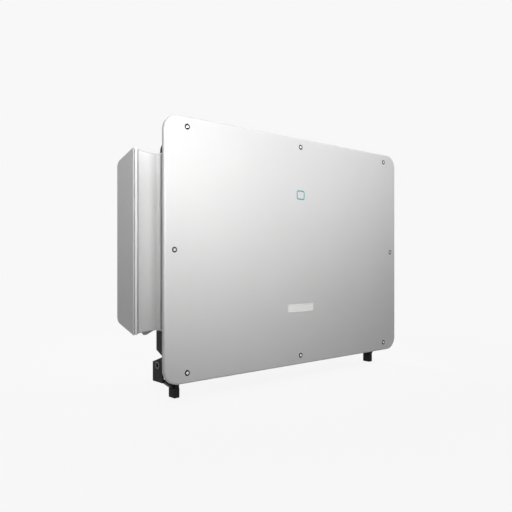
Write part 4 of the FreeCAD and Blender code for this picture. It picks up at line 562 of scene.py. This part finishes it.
def sink(shape, rim, depth):
    """Draws a rim of edges straight back and returns the new rim."""
    made = bmesh.ops.extrude_edge_only(shape, edges=rim)["geom"]
    moved = [item for item in made if isinstance(item, bmesh.types.BMVert)]
    bmesh.ops.translate(shape, vec=(0, depth, 0), verts=moved)
    return [
        edge
        for edge in made
        if isinstance(edge, bmesh.types.BMEdge) and all(vert in moved for vert in edge.verts)
    ]


def span_of(node):
    """The low corner, high corner and middle of a part of the frame."""
    low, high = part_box(node)
    return low, high, (low + high) / 2


cover_low, cover_high, cover_middle = span_of("front_cover")
FACE_Y = cover_low.y
COVER_CORNER = 50 * MM
COVER_EDGE = 6.5 * MM
COVER_WALL = 2.5 * MM
COVER_DEPTH = 14 * MM
WASHER_RADIUS = 8.8 * MM
WASHER_SEAT = 1.2 * MM
SEAT_GAP = 0.1 * MM
SEAT_ROOM = 0.5 * MM
SCREW_CORNER = 80.5 * MM
SCREW_DROP = 32 * MM
SCREW_INSET = 35 * MM
ring_low, ring_high, ring_middle = span_of("light_ring")
RING_LINE = 4.6 * MM
RING_CORNER = 9 * MM
RING_DEPTH = 1.4 * MM
plate_low, plate_high, plate_middle = span_of("name_plate")
PLATE_CORNER = 5 * MM

screw_places = [
    (x, z)
    for z in (cover_low.z + SCREW_DROP, cover_high.z - SCREW_DROP)
    for x in (cover_low.x + SCREW_CORNER, 0, cover_high.x - SCREW_CORNER)
] + [(cover_low.x + SCREW_INSET, cover_middle.z), (cover_high.x - SCREW_INSET, cover_middle.z)]


def make_cover():
    """A shallow pan: rounded plan, rolled front edge, seats for washers, light ring and plate."""
    shape = bmesh.new()
    width = cover_high.x - cover_low.x
    height = cover_high.z - cover_low.z
    rim_y = FACE_Y + COVER_DEPTH
    sheet = add_plate(shape, width, height, COVER_CORNER, (0, rim_y, cover_middle.z), 14)
    made = bmesh.ops.extrude_face_region(shape, geom=[sheet])["geom"]
    front = [item for item in made if isinstance(item, bmesh.types.BMVert)]
    bmesh.ops.translate(shape, vec=(0, FACE_Y - rim_y, 0), verts=front)
    back = [face for face in shape.faces if all(v.co.y > rim_y - TOUCH for v in face.verts)]
    bmesh.ops.delete(shape, geom=back, context="FACES_ONLY")
    flat = [face for face in shape.faces if all(v.co.y < FACE_Y + TOUCH for v in face.verts)][0]
    bmesh.ops.bevel(
        shape,
        geom=list(flat.edges),
        offset=COVER_EDGE,
        offset_type="OFFSET",
        segments=8,
        profile=0.5,
        affect="EDGES",
        material=-1,
    )
    flat = max(shape.faces, key=lambda face: face.calc_area())
    openings = only_rim(shape, flat)
    for x, z in screw_places:
        seat = add_circle(shape, WASHER_RADIUS + SEAT_ROOM, (x, FACE_Y, z))
        openings += seat
        bmesh.ops.contextual_create(shape, geom=sink(shape, seat, WASHER_SEAT))
    outer, inner = ring_rims(shape, SEAT_GAP)
    openings += outer
    bmesh.ops.contextual_create(shape, geom=inner)
    bottoms = sink(shape, outer, RING_DEPTH) + sink(shape, inner, RING_DEPTH)
    bmesh.ops.bridge_loops(shape, edges=bottoms)
    size = plate_high - plate_low
    spot = (0, FACE_Y, plate_middle.z)
    recess = only_rim(
        shape,
        add_plate(shape, size.x + 2 * SEAT_GAP, size.z + 2 * SEAT_GAP, PLATE_CORNER + SEAT_GAP, spot),
    )
    openings += recess
    bmesh.ops.contextual_create(shape, geom=sink(shape, recess, size.y / 2))
    bmesh.ops.triangle_fill(shape, use_beauty=True, edges=openings, normal=(0, -1, 0))
    tidy_faces(shape)
    close_piece(shape, "cover_shell", "cover_paint", "cabinet", ["front_cover"], 38, wall=COVER_WALL)


def ring_rims(shape, gap):
    """The outer and inner outlines of the light ring, as two rims of edges in the cover's face."""
    size = ring_high - ring_low
    spot = (ring_middle.x, FACE_Y, ring_middle.z)
    outer = add_plate(shape, size.x + 2 * gap, size.z + 2 * gap, RING_CORNER + gap, spot, 10)
    outer = only_rim(shape, outer)
    across = 2 * (RING_LINE + gap)
    inner = add_plate(shape, size.x - across, size.z - across, RING_CORNER - RING_LINE - gap, spot, 10)
    return outer, only_rim(shape, inner)


def make_light_ring():
    """The light guide: a flush ring with eased edges and a shallow crown."""
    shape = bmesh.new()
    outer, inner = ring_rims(shape, 0)
    bmesh.ops.bridge_loops(shape, edges=outer + inner)
    made = bmesh.ops.extrude_face_region(shape, geom=list(shape.faces), use_keep_orig=True)["geom"]
    back = [item for item in made if isinstance(item, bmesh.types.BMVert)]
    bmesh.ops.translate(shape, vec=(0, RING_DEPTH - 0.05 * MM, 0), verts=back)
    tidy_faces(shape)
    close_piece(shape, "glow_ring", "light_guide", "cabinet", ["light_ring"], 40, 0.35 * MM, 3)


def make_plate():
    """The bare plate: a pale slip with a thin raised border."""
    shape = bmesh.new()
    size = plate_high - plate_low
    face = add_plate(shape, size.x, size.z, PLATE_CORNER, (0, plate_high.y, plate_middle.z))
    made = bmesh.ops.extrude_face_region(shape, geom=[face], use_keep_orig=True)["geom"]
    front = [item for item in made if isinstance(item, bmesh.types.BMVert)]
    bmesh.ops.translate(shape, vec=(0, -size.y, 0), verts=front)
    face = [item for item in made if isinstance(item, bmesh.types.BMFace)]
    bmesh.ops.inset_region(shape, faces=face, thickness=0.9 * MM, depth=0)
    bmesh.ops.inset_region(shape, faces=face, thickness=0.3 * MM, depth=-0.25 * MM)
    tidy_faces(shape)
    close_piece(shape, "bare_plate", "plate_plastic", "cabinet", ["name_plate"], 30, 0.15 * MM)


def turned_about_y(shape, profile, steps=32):
    """Spins a run of points (radius, y) round the Y axis and closes it on itself."""
    points = [shape.verts.new((radius, y, 0)) for radius, y in profile]
    edges = [shape.edges.new(pair) for pair in zip(points, points[1:])]
    bmesh.ops.spin(
        shape,
        geom=points + edges,
        cent=(0, 0, 0),
        axis=(0, 1, 0),
        angle=math.tau,
        steps=steps,
        use_merge=True,
    )
    bmesh.ops.remove_doubles(shape, verts=shape.verts, dist=SPUN_JOIN)


def scatter(single, places):
    """One shape repeated at each place, as a single mesh."""
    mesh = bpy.data.meshes.new("repeated")
    single.to_mesh(mesh)
    single.free()
    whole = bmesh.new()
    for place in places:
        count = len(whole.verts)
        whole.from_mesh(mesh)
        whole.verts.ensure_lookup_table()
        bmesh.ops.translate(whole, vec=place, verts=whole.verts[count:])
    bpy.data.meshes.remove(mesh)
    return whole


def make_cover_screws():
    """Socket screws: domed heads with a hexagon socket, each on its dark sealing washer."""
    screw = bmesh.new()
    top = FACE_Y - 1.5 * MM
    profile = [(2.9, 0), (3.6, 0), (4.2, 0.35), (4.6, 1.1), (4.6, 2.1)]
    turned_about_y(screw, [(radius * MM, top + rise * MM) for radius, rise in profile])
    lip = [
        edge
        for edge in screw.edges
        if edge.is_boundary and max(vert.co.y for vert in edge.verts) < top + FINE_JOIN
    ]
    turned = Matrix.Translation((0, top, 0)) @ Matrix.Rotation(math.radians(90), 4, "X")
    socket = bmesh.ops.create_circle(screw, cap_ends=False, segments=6, radius=2.6 * MM, matrix=turned)
    mouth = edges_of(socket["verts"])
    bmesh.ops.triangle_fill(screw, use_beauty=True, edges=lip + mouth, normal=(0, -1, 0))
    floor_rim = sink(screw, mouth, 1.9 * MM)
    bmesh.ops.contextual_create(screw, geom=floor_rim)
    tidy_faces(screw)
    spots = [(x, 0, z) for x, z in screw_places]
    close_piece(
        scatter(screw, spots), "cover_screw_heads", "bright_steel", "cabinet", ["cover_screws"], 30
    )
    washer = bmesh.new()
    seat = FACE_Y + WASHER_SEAT
    profile = [(4.4, -0.1), (4.4, -1.25), (4.9, -1.6), (8.3, -1.6), (8.8, -1.15), (8.8, -0.1)]
    turned_about_y(washer, [(radius * MM, seat + rise * MM) for radius, rise in profile], 40)
    tidy_faces(washer)
    close_piece(
        scatter(washer, spots), "cover_washers", "seal_rubber", "cabinet", ["cover_screw_washers"], 40
    )


make_cover()
make_light_ring()
make_plate()
make_cover_screws()

# ---------------------------------------------------------------- trim of the rear housing

HOUSING_RIM = 66.0
HOUSING_TOP = 806.5
HOUSING_FOOT = 182.5
HOUSING_RAKE = math.tan(math.radians(17.6))
SCOOP_X = 440.5
SCOOP_FLOOR = 88.5
SCOOP_RADIUS = 210.5
SCOOP_SWEEP = 22.2
SKIRT_LOW = 177.7
SLIP_LIFT = 0.4
SLIP_ENDS = (150, 840)
SKIRT_OUTER = 488.8
SKIRT_INNER = 476.5
HANDLE_SOCKET = (538, -89, 106)


def add_block(shape, low, high, ease):
    """Adds a rectangular block with eased edges between two corners, given in millimetres."""
    low, high = Vector(low) * MM, Vector(high) * MM
    sized = Matrix.Translation((low + high) / 2) @ Matrix.Diagonal((*(high - low), 1))
    made = bmesh.ops.create_cube(shape, size=1, matrix=sized)["verts"]
    bmesh.ops.bevel(
        shape,
        geom=edges_of(made),
        offset=ease * MM,
        segments=2,
        profile=0.5,
        affect="EDGES",
        material=-1,
    )


def add_rod(shape, radius, low, high):
    """Adds an upright rod between two places, given in millimetres."""
    low, high = Vector(low) * MM, Vector(high) * MM
    bmesh.ops.create_cone(
        shape,
        cap_ends=True,
        segments=12,
        radius1=radius * MM,
        radius2=radius * MM,
        depth=(high - low).length,
        matrix=Matrix.Translation((low + high) / 2),
    )


def make_seals_and_shade_beads():
    """Seals and dark beads: a seal beside each side cover, and dark beads along the scoop's outer edge and
    down the neck, set where the housing lies in shade: painted shade.
    """
    shape = bmesh.new()
    low, high = HOUSING_FOOT + 5, HOUSING_TOP - 5
    for side in (-1, 1):
        # The bead by the scoop's outer edge, the second in each pair, is painted shade.
        for near_x, far_x, front, back in ((531.8, 533.2, 65.6, 67.0), (514.8, 517.2, 73.5, 76.5)):
            across = sorted((side * near_x, side * far_x))
            add_block(shape, (across[0], front, low), (across[1], back, high), 0.25)
        # The bead down the neck is a dark strip set in the neck's shade: painted shade.
        add_rod(shape, 1.5, (side * 423.3, 79.2, low + 4), (side * 423.3, 79.2, high - 4))
    tidy_faces(shape)
    close_piece(shape, "seals_and_shade_beads", "seal_rubber", "cabinet")


def slip_of_scoop(side, cuts):
    """A thin slip that lies on the scoop's curved sheet, cut out along flat planes."""
    slip = bmesh.new()
    radius = SCOOP_RADIUS - SLIP_LIFT
    centre_y = SCOOP_FLOOR - SCOOP_RADIUS
    ends = [slip.verts.new((side * SCOOP_X * MM, (centre_y + radius) * MM, z * MM)) for z in SLIP_ENDS]
    line = slip.edges.new(ends)
    bmesh.ops.spin(
        slip,
        geom=ends + [line],
        cent=(side * SCOOP_X * MM, centre_y * MM, 0),
        axis=(0, 0, 1),
        angle=math.radians(-side * SCOOP_SWEEP),
        steps=18,
    )
    for place, outward in cuts:
        bmesh.ops.bisect_plane(
            slip,
            geom=list(slip.verts) + list(slip.edges) + list(slip.faces),
            plane_co=Vector(place) * MM,
            plane_no=outward,
            clear_outer=True,
        )
    tidy_faces(slip)
    if sum(face.normal.y for face in slip.faces) > 0:
        bmesh.ops.reverse_faces(slip, faces=slip.faces)
    return slip


def make_scoop_shade_slips():
    """Darker strips along the scoop's upper and lower edges, in the shade along each folded hem: painted
    shade; and a grey slip on the skirt below, dark for its slots and for the shade it lies in, so partly
    painted shade.
    """
    hem_shade_strips = bmesh.new()
    shaded_skirt_slips = bmesh.new()
    for side in (-1, 1):
        # Painted shade: darker strips along the top and bottom edges of the scoop.
        for edge, way, near_edge, far_edge in (
            (HOUSING_TOP, 1, -0.4, -2.2),
            (HOUSING_FOOT, -1, 0.4, 2.4),
        ):
            rake = Vector((0, way * HOUSING_RAKE, 1)) * way
            cuts = [
                ((0, HOUSING_RIM, edge + near_edge), rake),
                ((0, HOUSING_RIM, edge + far_edge), -rake),
            ]
            add_shape(hem_shade_strips, slip_of_scoop(side, cuts))
        # The skirt's grey slip: partly painted shade, partly its slots.
        cuts = [
            ((0, HOUSING_RIM, HOUSING_FOOT), (0, -HOUSING_RAKE, 1)),
            ((0, 0, SKIRT_LOW), (0, 0, -1)),
            ((side * SKIRT_OUTER, 0, SKIRT_LOW), (side, 0, -1)),
            ((side * SKIRT_INNER, 0, SKIRT_LOW), (-side * 12.3, 0, -30.5)),
        ]
        add_shape(shaded_skirt_slips, slip_of_scoop(side, cuts))
    close_piece(hem_shade_strips, "scoop_hem_shade_strips", "side_paint", "cabinet", wall=0.6 * MM)
    close_piece(shaded_skirt_slips, "skirt_shade_linings", "grey_plastic", "cabinet", wall=0.6 * MM)


def make_bracket_bosses():
    """Raised rims round the handle sockets in the corner brackets, in a plastic paler than the brackets; the
    paleness partly stands for the light on the rims: painted highlight.
    """
    shape = bmesh.new()
    across, along, up = HANDLE_SOCKET
    for side in (-1, 1):
        rim = bmesh.new()
        profile = [(7.4, -1), (7.4, 1.6), (8.2, 2.4), (10.6, 2.4), (11.8, 1.2), (12.2, -1)]
        turned_about_y(rim, [(radius * MM, -rise * MM) for radius, rise in profile], 32)
        tidy_faces(rim)
        bmesh.ops.transform(
            rim,
            matrix=Matrix.Translation(Vector((side * across, along, up)) * MM)
            @ Matrix.Rotation(math.radians(side * 90), 4, "Z"),
            verts=rim.verts,
        )
        add_shape(shape, rim)
    # The rims' paler plastic is partly a painted highlight.
    close_piece(shape, "bracket_bosses", "switch_plastic", "cabinet", soften=0.2 * MM)


# ---------------------------------------------------------------- feet

FOOT_HALF = (10.5, 17.0)
FOOT_HEIGHT = 30.0
FLUTE_PITCH = 3.0
FLUTE_SPANS = ((0, 7.5), (1, 13.5))  # axis and how far the flutes reach along it
COUNTERBORE = 6.6
COUNTERBORE_DEPTH = 12
FOOT_PLACES = [(side * 484, -99) for side in (-1, 1)] + [(side * 385, 73) for side in (-1, 1)]


def make_feet():
    """Rubber blocks with upright flutes, a rounded tread and a counterbore for the screw."""
    foot = bmesh.new()
    half_x, half_y = FOOT_HALF
    outline = [
        foot.verts.new((x * half_x * MM, y * half_y * MM, 0))
        for x, y in ((-1, -1), (1, -1), (1, 1), (-1, 1))
    ]
    foot.faces.new(outline)
    bmesh.ops.bevel(
        foot, geom=outline, offset=3.2 * MM, segments=4, profile=0.5, affect="VERTICES", material=-1
    )
    tread = list(foot.faces)[0]
    made = bmesh.ops.extrude_face_region(foot, geom=[tread], use_keep_orig=True)["geom"]
    top = [item for item in made if isinstance(item, bmesh.types.BMVert)]
    bmesh.ops.translate(foot, vec=(0, 0, FOOT_HEIGHT * MM), verts=top)
    tidy_faces(foot)
    tread = min(foot.faces, key=lambda face: face.calc_center_median().z)
    bmesh.ops.bevel(
        foot,
        geom=list(tread.edges),
        offset=2.6 * MM,
        segments=3,
        profile=0.5,
        affect="EDGES",
        material=-1,
    )
    for axis, reach in FLUTE_SPANS:
        place = -reach
        while place < reach + 0.1:
            point = [0, 0, 0]
            point[axis] = place * MM
            bmesh.ops.bisect_plane(
                foot,
                geom=list(foot.verts) + list(foot.edges) + list(foot.faces),
                plane_co=point,
                plane_no=[1 if number == axis else 0 for number in (0, 1, 2)],
            )
            place += FLUTE_PITCH
    foot.normal_update()
    flutes = []
    for face in foot.faces:
        middle = face.calc_center_median() / MM
        for axis, reach in FLUTE_SPANS:
            other = 1 - axis
            strip = (middle[axis] + reach) / FLUTE_PITCH
            inside = 0 < strip < 2 * reach / FLUTE_PITCH
            if abs(face.normal[other]) > 0.99 and inside and int(strip) % 2 == 0:
                flutes.append(face)
    bmesh.ops.inset_individual(foot, faces=flutes, thickness=0.35 * MM, depth=-0.9 * MM)
    under = [
        face
        for face in foot.faces
        if face.normal.z < -0.99 and face.calc_center_median().z < TOUCH
    ]
    bmesh.ops.delete(foot, geom=under, context="FACES")
    rim = [edge for edge in foot.edges if edge.is_boundary]
    made = bmesh.ops.create_circle(foot, cap_ends=False, segments=28, radius=COUNTERBORE * MM)["verts"]
    way = edges_of(made)
    bmesh.ops.triangle_fill(foot, use_beauty=True, edges=rim + way, normal=(0, 0, -1))
    made = bmesh.ops.extrude_edge_only(foot, edges=way)["geom"]
    moved = [item for item in made if isinstance(item, bmesh.types.BMVert)]
    bmesh.ops.translate(foot, vec=(0, 0, COUNTERBORE_DEPTH * MM), verts=moved)
    floor_rim = [
        edge
        for edge in made
        if isinstance(edge, bmesh.types.BMEdge) and all(vert in moved for vert in edge.verts)
    ]
    bmesh.ops.contextual_create(foot, geom=floor_rim)
    tidy_faces(foot)
    places = [(x * MM, y * MM, 0) for x, y in FOOT_PLACES]
    close_piece(scatter(foot, places), "foot_blocks", "foot_rubber", "cabinet", ["feet"], 35)


# ---------------------------------------------------------------- underside: glands, knobs and sockets

CASING_LOW = 113.0
GLAND_PLACES = [(x, -115) for x in (190, 258, 326, 394)]
SIGNAL_PLACES = [(453, -135), (453, -95)]
KNOB_PLACES = [-412.73, -285.91, -159.09, -32.27]
KNOB_ROW = -145.0
SOCKET_FIRST = -455.0
SOCKET_PITCH = 465 / 11
SOCKET_COUNT = 12
SOCKET_ROWS = (-115.0, -86.0)


def turned_about_z(shape, profile, steps, closed=True):
    """Spins a run of points (radius, z) in millimetres round the Z axis."""
    points = [shape.verts.new((radius * MM, 0, z * MM)) for radius, z in profile]
    pairs = list(zip(points, points[1:])) + ([(points[-1], points[0])] if closed else [])
    edges = [shape.edges.new(pair) for pair in pairs]
    bmesh.ops.spin(
        shape,
        geom=points + edges,
        cent=(0, 0, 0),
        axis=(0, 0, 1),
        angle=math.tau,
        steps=steps,
        use_merge=True,
    )
    bmesh.ops.remove_doubles(shape, verts=shape.verts, dist=SPUN_JOIN)
    bmesh.ops.recalc_face_normals(shape, faces=shape.faces)


def flute(shape, low, high, depth, count):
    """Sinks every second upright strip between two heights."""
    strips = []
    for face in shape.faces:
        middle = face.calc_center_median() / MM
        if low < middle.z < high and abs(face.normal.z) < 0.5:
            outward = face.normal.x * middle.x + face.normal.y * middle.y
            turn = math.atan2(middle.y, middle.x) / math.tau * 2 * count
            if outward > 0 and int(turn + 2 * count) % 2 == 0:
                strips.append(face)
    bmesh.ops.inset_individual(shape, faces=strips, thickness=0.25 * MM, depth=-depth * MM)


def make_glands(name, node, places, radius, bore, seat, drop, flutes):
    """Cable glands: a fluted clamping nut, a hexagon with eased corners, a neck and the open way through."""
    gland = bmesh.new()
    foot = seat - drop
    step = seat - drop * 0.35
    neck = CASING_LOW + 14
    profile = [
        (bore, foot),
        (radius * 0.76 - 1.2, foot),
        (radius * 0.76, foot + 1.2),
        (radius * 0.9, step - 1.0),
        (radius * 0.9 - 0.8, step - 0.05),
        (bore + 3, step - 0.05),
        (bore + 3, neck),
        (bore, neck),
    ]
    turned_about_z(gland, profile, 2 * flutes)
    flute(gland, foot + 1.3, step - 1.1, radius * 0.035, flutes)
    made = bmesh.ops.create_circle(gland, cap_ends=False, segments=6, radius=radius * MM)["verts"]
    outer = edges_of(made)
    made = bmesh.ops.create_circle(gland, cap_ends=False, segments=36, radius=(bore + 3.05) * MM)["verts"]
    inner = edges_of(made)
    ring = bmesh.ops.triangle_fill(gland, use_beauty=True, edges=outer + inner, normal=(0, 0, -1))["geom"]
    ring = [item for item in ring if isinstance(item, bmesh.types.BMFace)]
    low = list(dict.fromkeys(vert for face in ring for vert in face.verts))
    bmesh.ops.translate(gland, vec=(0, 0, step * MM), verts=low)
    made = bmesh.ops.extrude_face_region(gland, geom=ring, use_keep_orig=True)["geom"]
    high = [item for item in made if isinstance(item, bmesh.types.BMVert)]
    bmesh.ops.translate(gland, vec=(0, 0, (seat - step) * MM), verts=high)
    tidy_faces(gland)
    spots = [(x * MM, y * MM, 0) for x, y in places]
    close_piece(scatter(gland, spots), name, slot_of[node], "cabinet", [node], 30, 0.25 * MM, 1)
    seal = bmesh.new()
    lip = bore * 0.93
    profile = [(lip, foot + 2), (bore - 0.1, foot + 0.6), (bore - 0.1, foot + 8), (lip, foot + 6)]
    turned_about_z(seal, profile, 36)
    close_piece(scatter(seal, spots), name + "_seals", "seal_rubber", "cabinet")


def make_knob(number, x):
    """A switch knob: scalloped disc, pointed grip with rounded edges, shaft and a pale pointer line."""
    knob = bmesh.new()
    disc = [(0, 100.5), (13.6, 100.5), (15, 101.9), (15, 107.4), (13.9, 108.5)]
    profile = disc + [(5, 108.5), (5, 139), (0, 139)]
    turned_about_z(knob, profile, 48, closed=False)
    flute(knob, 102, 107.3, 0.55, 24)
    blade = bmesh.new()
    corners = [(-4.5, -13.4), (4.5, -13.4), (4.5, 9.3), (0, 13.8), (-4.5, 9.3)]
    face = blade.faces.new([blade.verts.new((along * MM, up * MM, 83 * MM)) for along, up in corners])
    made = bmesh.ops.extrude_face_region(blade, geom=[face], use_keep_orig=True)["geom"]
    top = [item for item in made if isinstance(item, bmesh.types.BMVert)]
    bmesh.ops.translate(blade, vec=(0, 0, 17.6 * MM), verts=top)
    tidy_faces(blade)
    soft = [edge for edge in blade.edges if min(vert.co.z for vert in edge.verts) < 0.09]
    bmesh.ops.bevel(
        blade, geom=soft, offset=1.2 * MM, segments=3, profile=0.5, affect="EDGES", material=-1
    )
    add_shape(knob, blade)
    tidy_faces(knob)
    node = f"switch_knob_{number}"
    spot = [(x * MM, KNOB_ROW * MM, 0)]
    close_piece(scatter(knob, spot), f"knob_body_{number}", slot_of[node], body_of[node], [node], 35)
    line = bmesh.new()
    add_block(line, (-0.7, 1.5, 82.8), (0.7, 10.5, 83.4), 0.15)
    close_piece(scatter(line, spot), f"knob_pointer_{number}", "plate_plastic", body_of[node])


def make_socket_rings():
    """Sealing rings round the string sockets, and the bright contact sleeve inside each."""
    seal = bmesh.new()
    turned_about_z(seal, [(7.2, 106.2), (8.7, 106.4), (9.1, 107.4), (8.7, 108.4), (7.2, 108.6)], 20)
    sleeve = bmesh.new()
    turned_about_z(sleeve, [(2.1, 88), (2.6, 87.6), (2.9, 88), (2.9, 112), (2.1, 112)], 16)
    columns = [SOCKET_FIRST + SOCKET_PITCH * number for number in range(SOCKET_COUNT)]
    spots = [(x * MM, y * MM, 0) for x in columns for y in SOCKET_ROWS]
    close_piece(scatter(seal, spots), "socket_seals", "seal_rubber", "cabinet")
    close_piece(scatter(sleeve, spots), "socket_sleeves", "bright_steel", "cabinet")


def make_plate_frame():
    """A bright drawn rim round the bare plate."""
    shape = bmesh.new()
    size = plate_high - plate_low
    spot = (0, plate_low.y, plate_middle.z)
    outer = only_rim(shape, add_plate(shape, size.x - 0.4 * MM, size.z - 0.4 * MM, PLATE_CORNER, spot))
    inner = only_rim(
        shape, add_plate(shape, size.x - 5.6 * MM, size.z - 5.6 * MM, PLATE_CORNER - 2.6 * MM, spot)
    )
    bmesh.ops.bridge_loops(shape, edges=outer + inner)
    made = bmesh.ops.extrude_face_region(shape, geom=list(shape.faces), use_keep_orig=True)["geom"]
    front = [item for item in made if isinstance(item, bmesh.types.BMVert)]
    bmesh.ops.translate(shape, vec=(0, -0.35 * MM, 0), verts=front)
    tidy_faces(shape)
    close_piece(shape, "plate_frame", "bright_steel", "cabinet", sharp=40, soften=0.12 * MM, steps=2)


make_seals_and_shade_beads()
make_scoop_shade_slips()
make_bracket_bosses()
make_feet()
make_glands("power_gland_nuts", "power_glands", GLAND_PLACES, 29.0, 19.0, 110.0, 36.0, 20)
make_glands("signal_gland_nuts", "signal_glands", SIGNAL_PLACES, 14.0, 7.0, 113.0, 26.0, 14)
for number, x in enumerate(KNOB_PLACES, start=1):
    make_knob(number, x)
make_socket_rings()
make_plate_frame()

# ---------------------------------------------------------------- the rest of the part

OUTSIDE = {
    "cover_gasket": (0.6, 2),
    "casing": (0.8, 2),
    "casing_flange": (0.6, 2),
    "casing_floor": (0.4, 2),
    "duct_frame": (0.5, 2),
    "outlet_grille": (0.0, 1),
    "fan_tray": (0.5, 2),
    "intake_grille": (0.0, 1),
    "fan_frames": (0.5, 2),
    "rear_housing": (0.45, 2),
    "side_cover_left": (0.35, 2),
    "side_cover_right": (0.35, 2),
    "side_cover_screws": (0.3, 2),
    "hanger_rails": (0.6, 2),
    "rail_bolts": (0.3, 2),
    "rail_spacers": (0.3, 2),
    "bracket_left": (1.0, 3),
    "bracket_right": (1.0, 3),
    "foot_screws": (0.3, 2),
    "rear_legs": (0.8, 2),
    "string_connectors_plus": (0.4, 2),
    "string_connectors_minus": (0.4, 2),
    "switch_collars": (0.4, 2),
    "gland_plate": (0.4, 2),
    "gland_plate_screws": (0.25, 2),
    "vent_valve": (0.4, 2),
    "earth_terminal": (0.3, 2),
    "heat_sink": (0.0, 1),
}
for number in range(1, 6):
    OUTSIDE[f"fan_impeller_{number}"] = (0.25, 1)
REPLACED = {"front_cover", "light_ring", "name_plate", "cover_screws", "cover_screw_washers"}
REPLACED |= {"feet", "power_glands", "signal_glands"} | {f"switch_knob_{number}" for number in range(1, 5)}
# The side covers' screws take the covers' paint.
slot_of["side_cover_screws"] = slot_of["side_cover_left"]
for node in sorted(nodes):
    if node in REPLACED:
        continue
    if node in OUTSIDE:
        width, steps = OUTSIDE[node]
        carry(node, width * MM, steps)
    else:
        paint_inside(node)

# ---------------------------------------------------------------- studio

set_studio()
make_floor()
for softbox in SOFTBOXES:
    add_softbox(*softbox)
set_camera()
bpy.context.scene.view_settings.view_transform = "Standard"
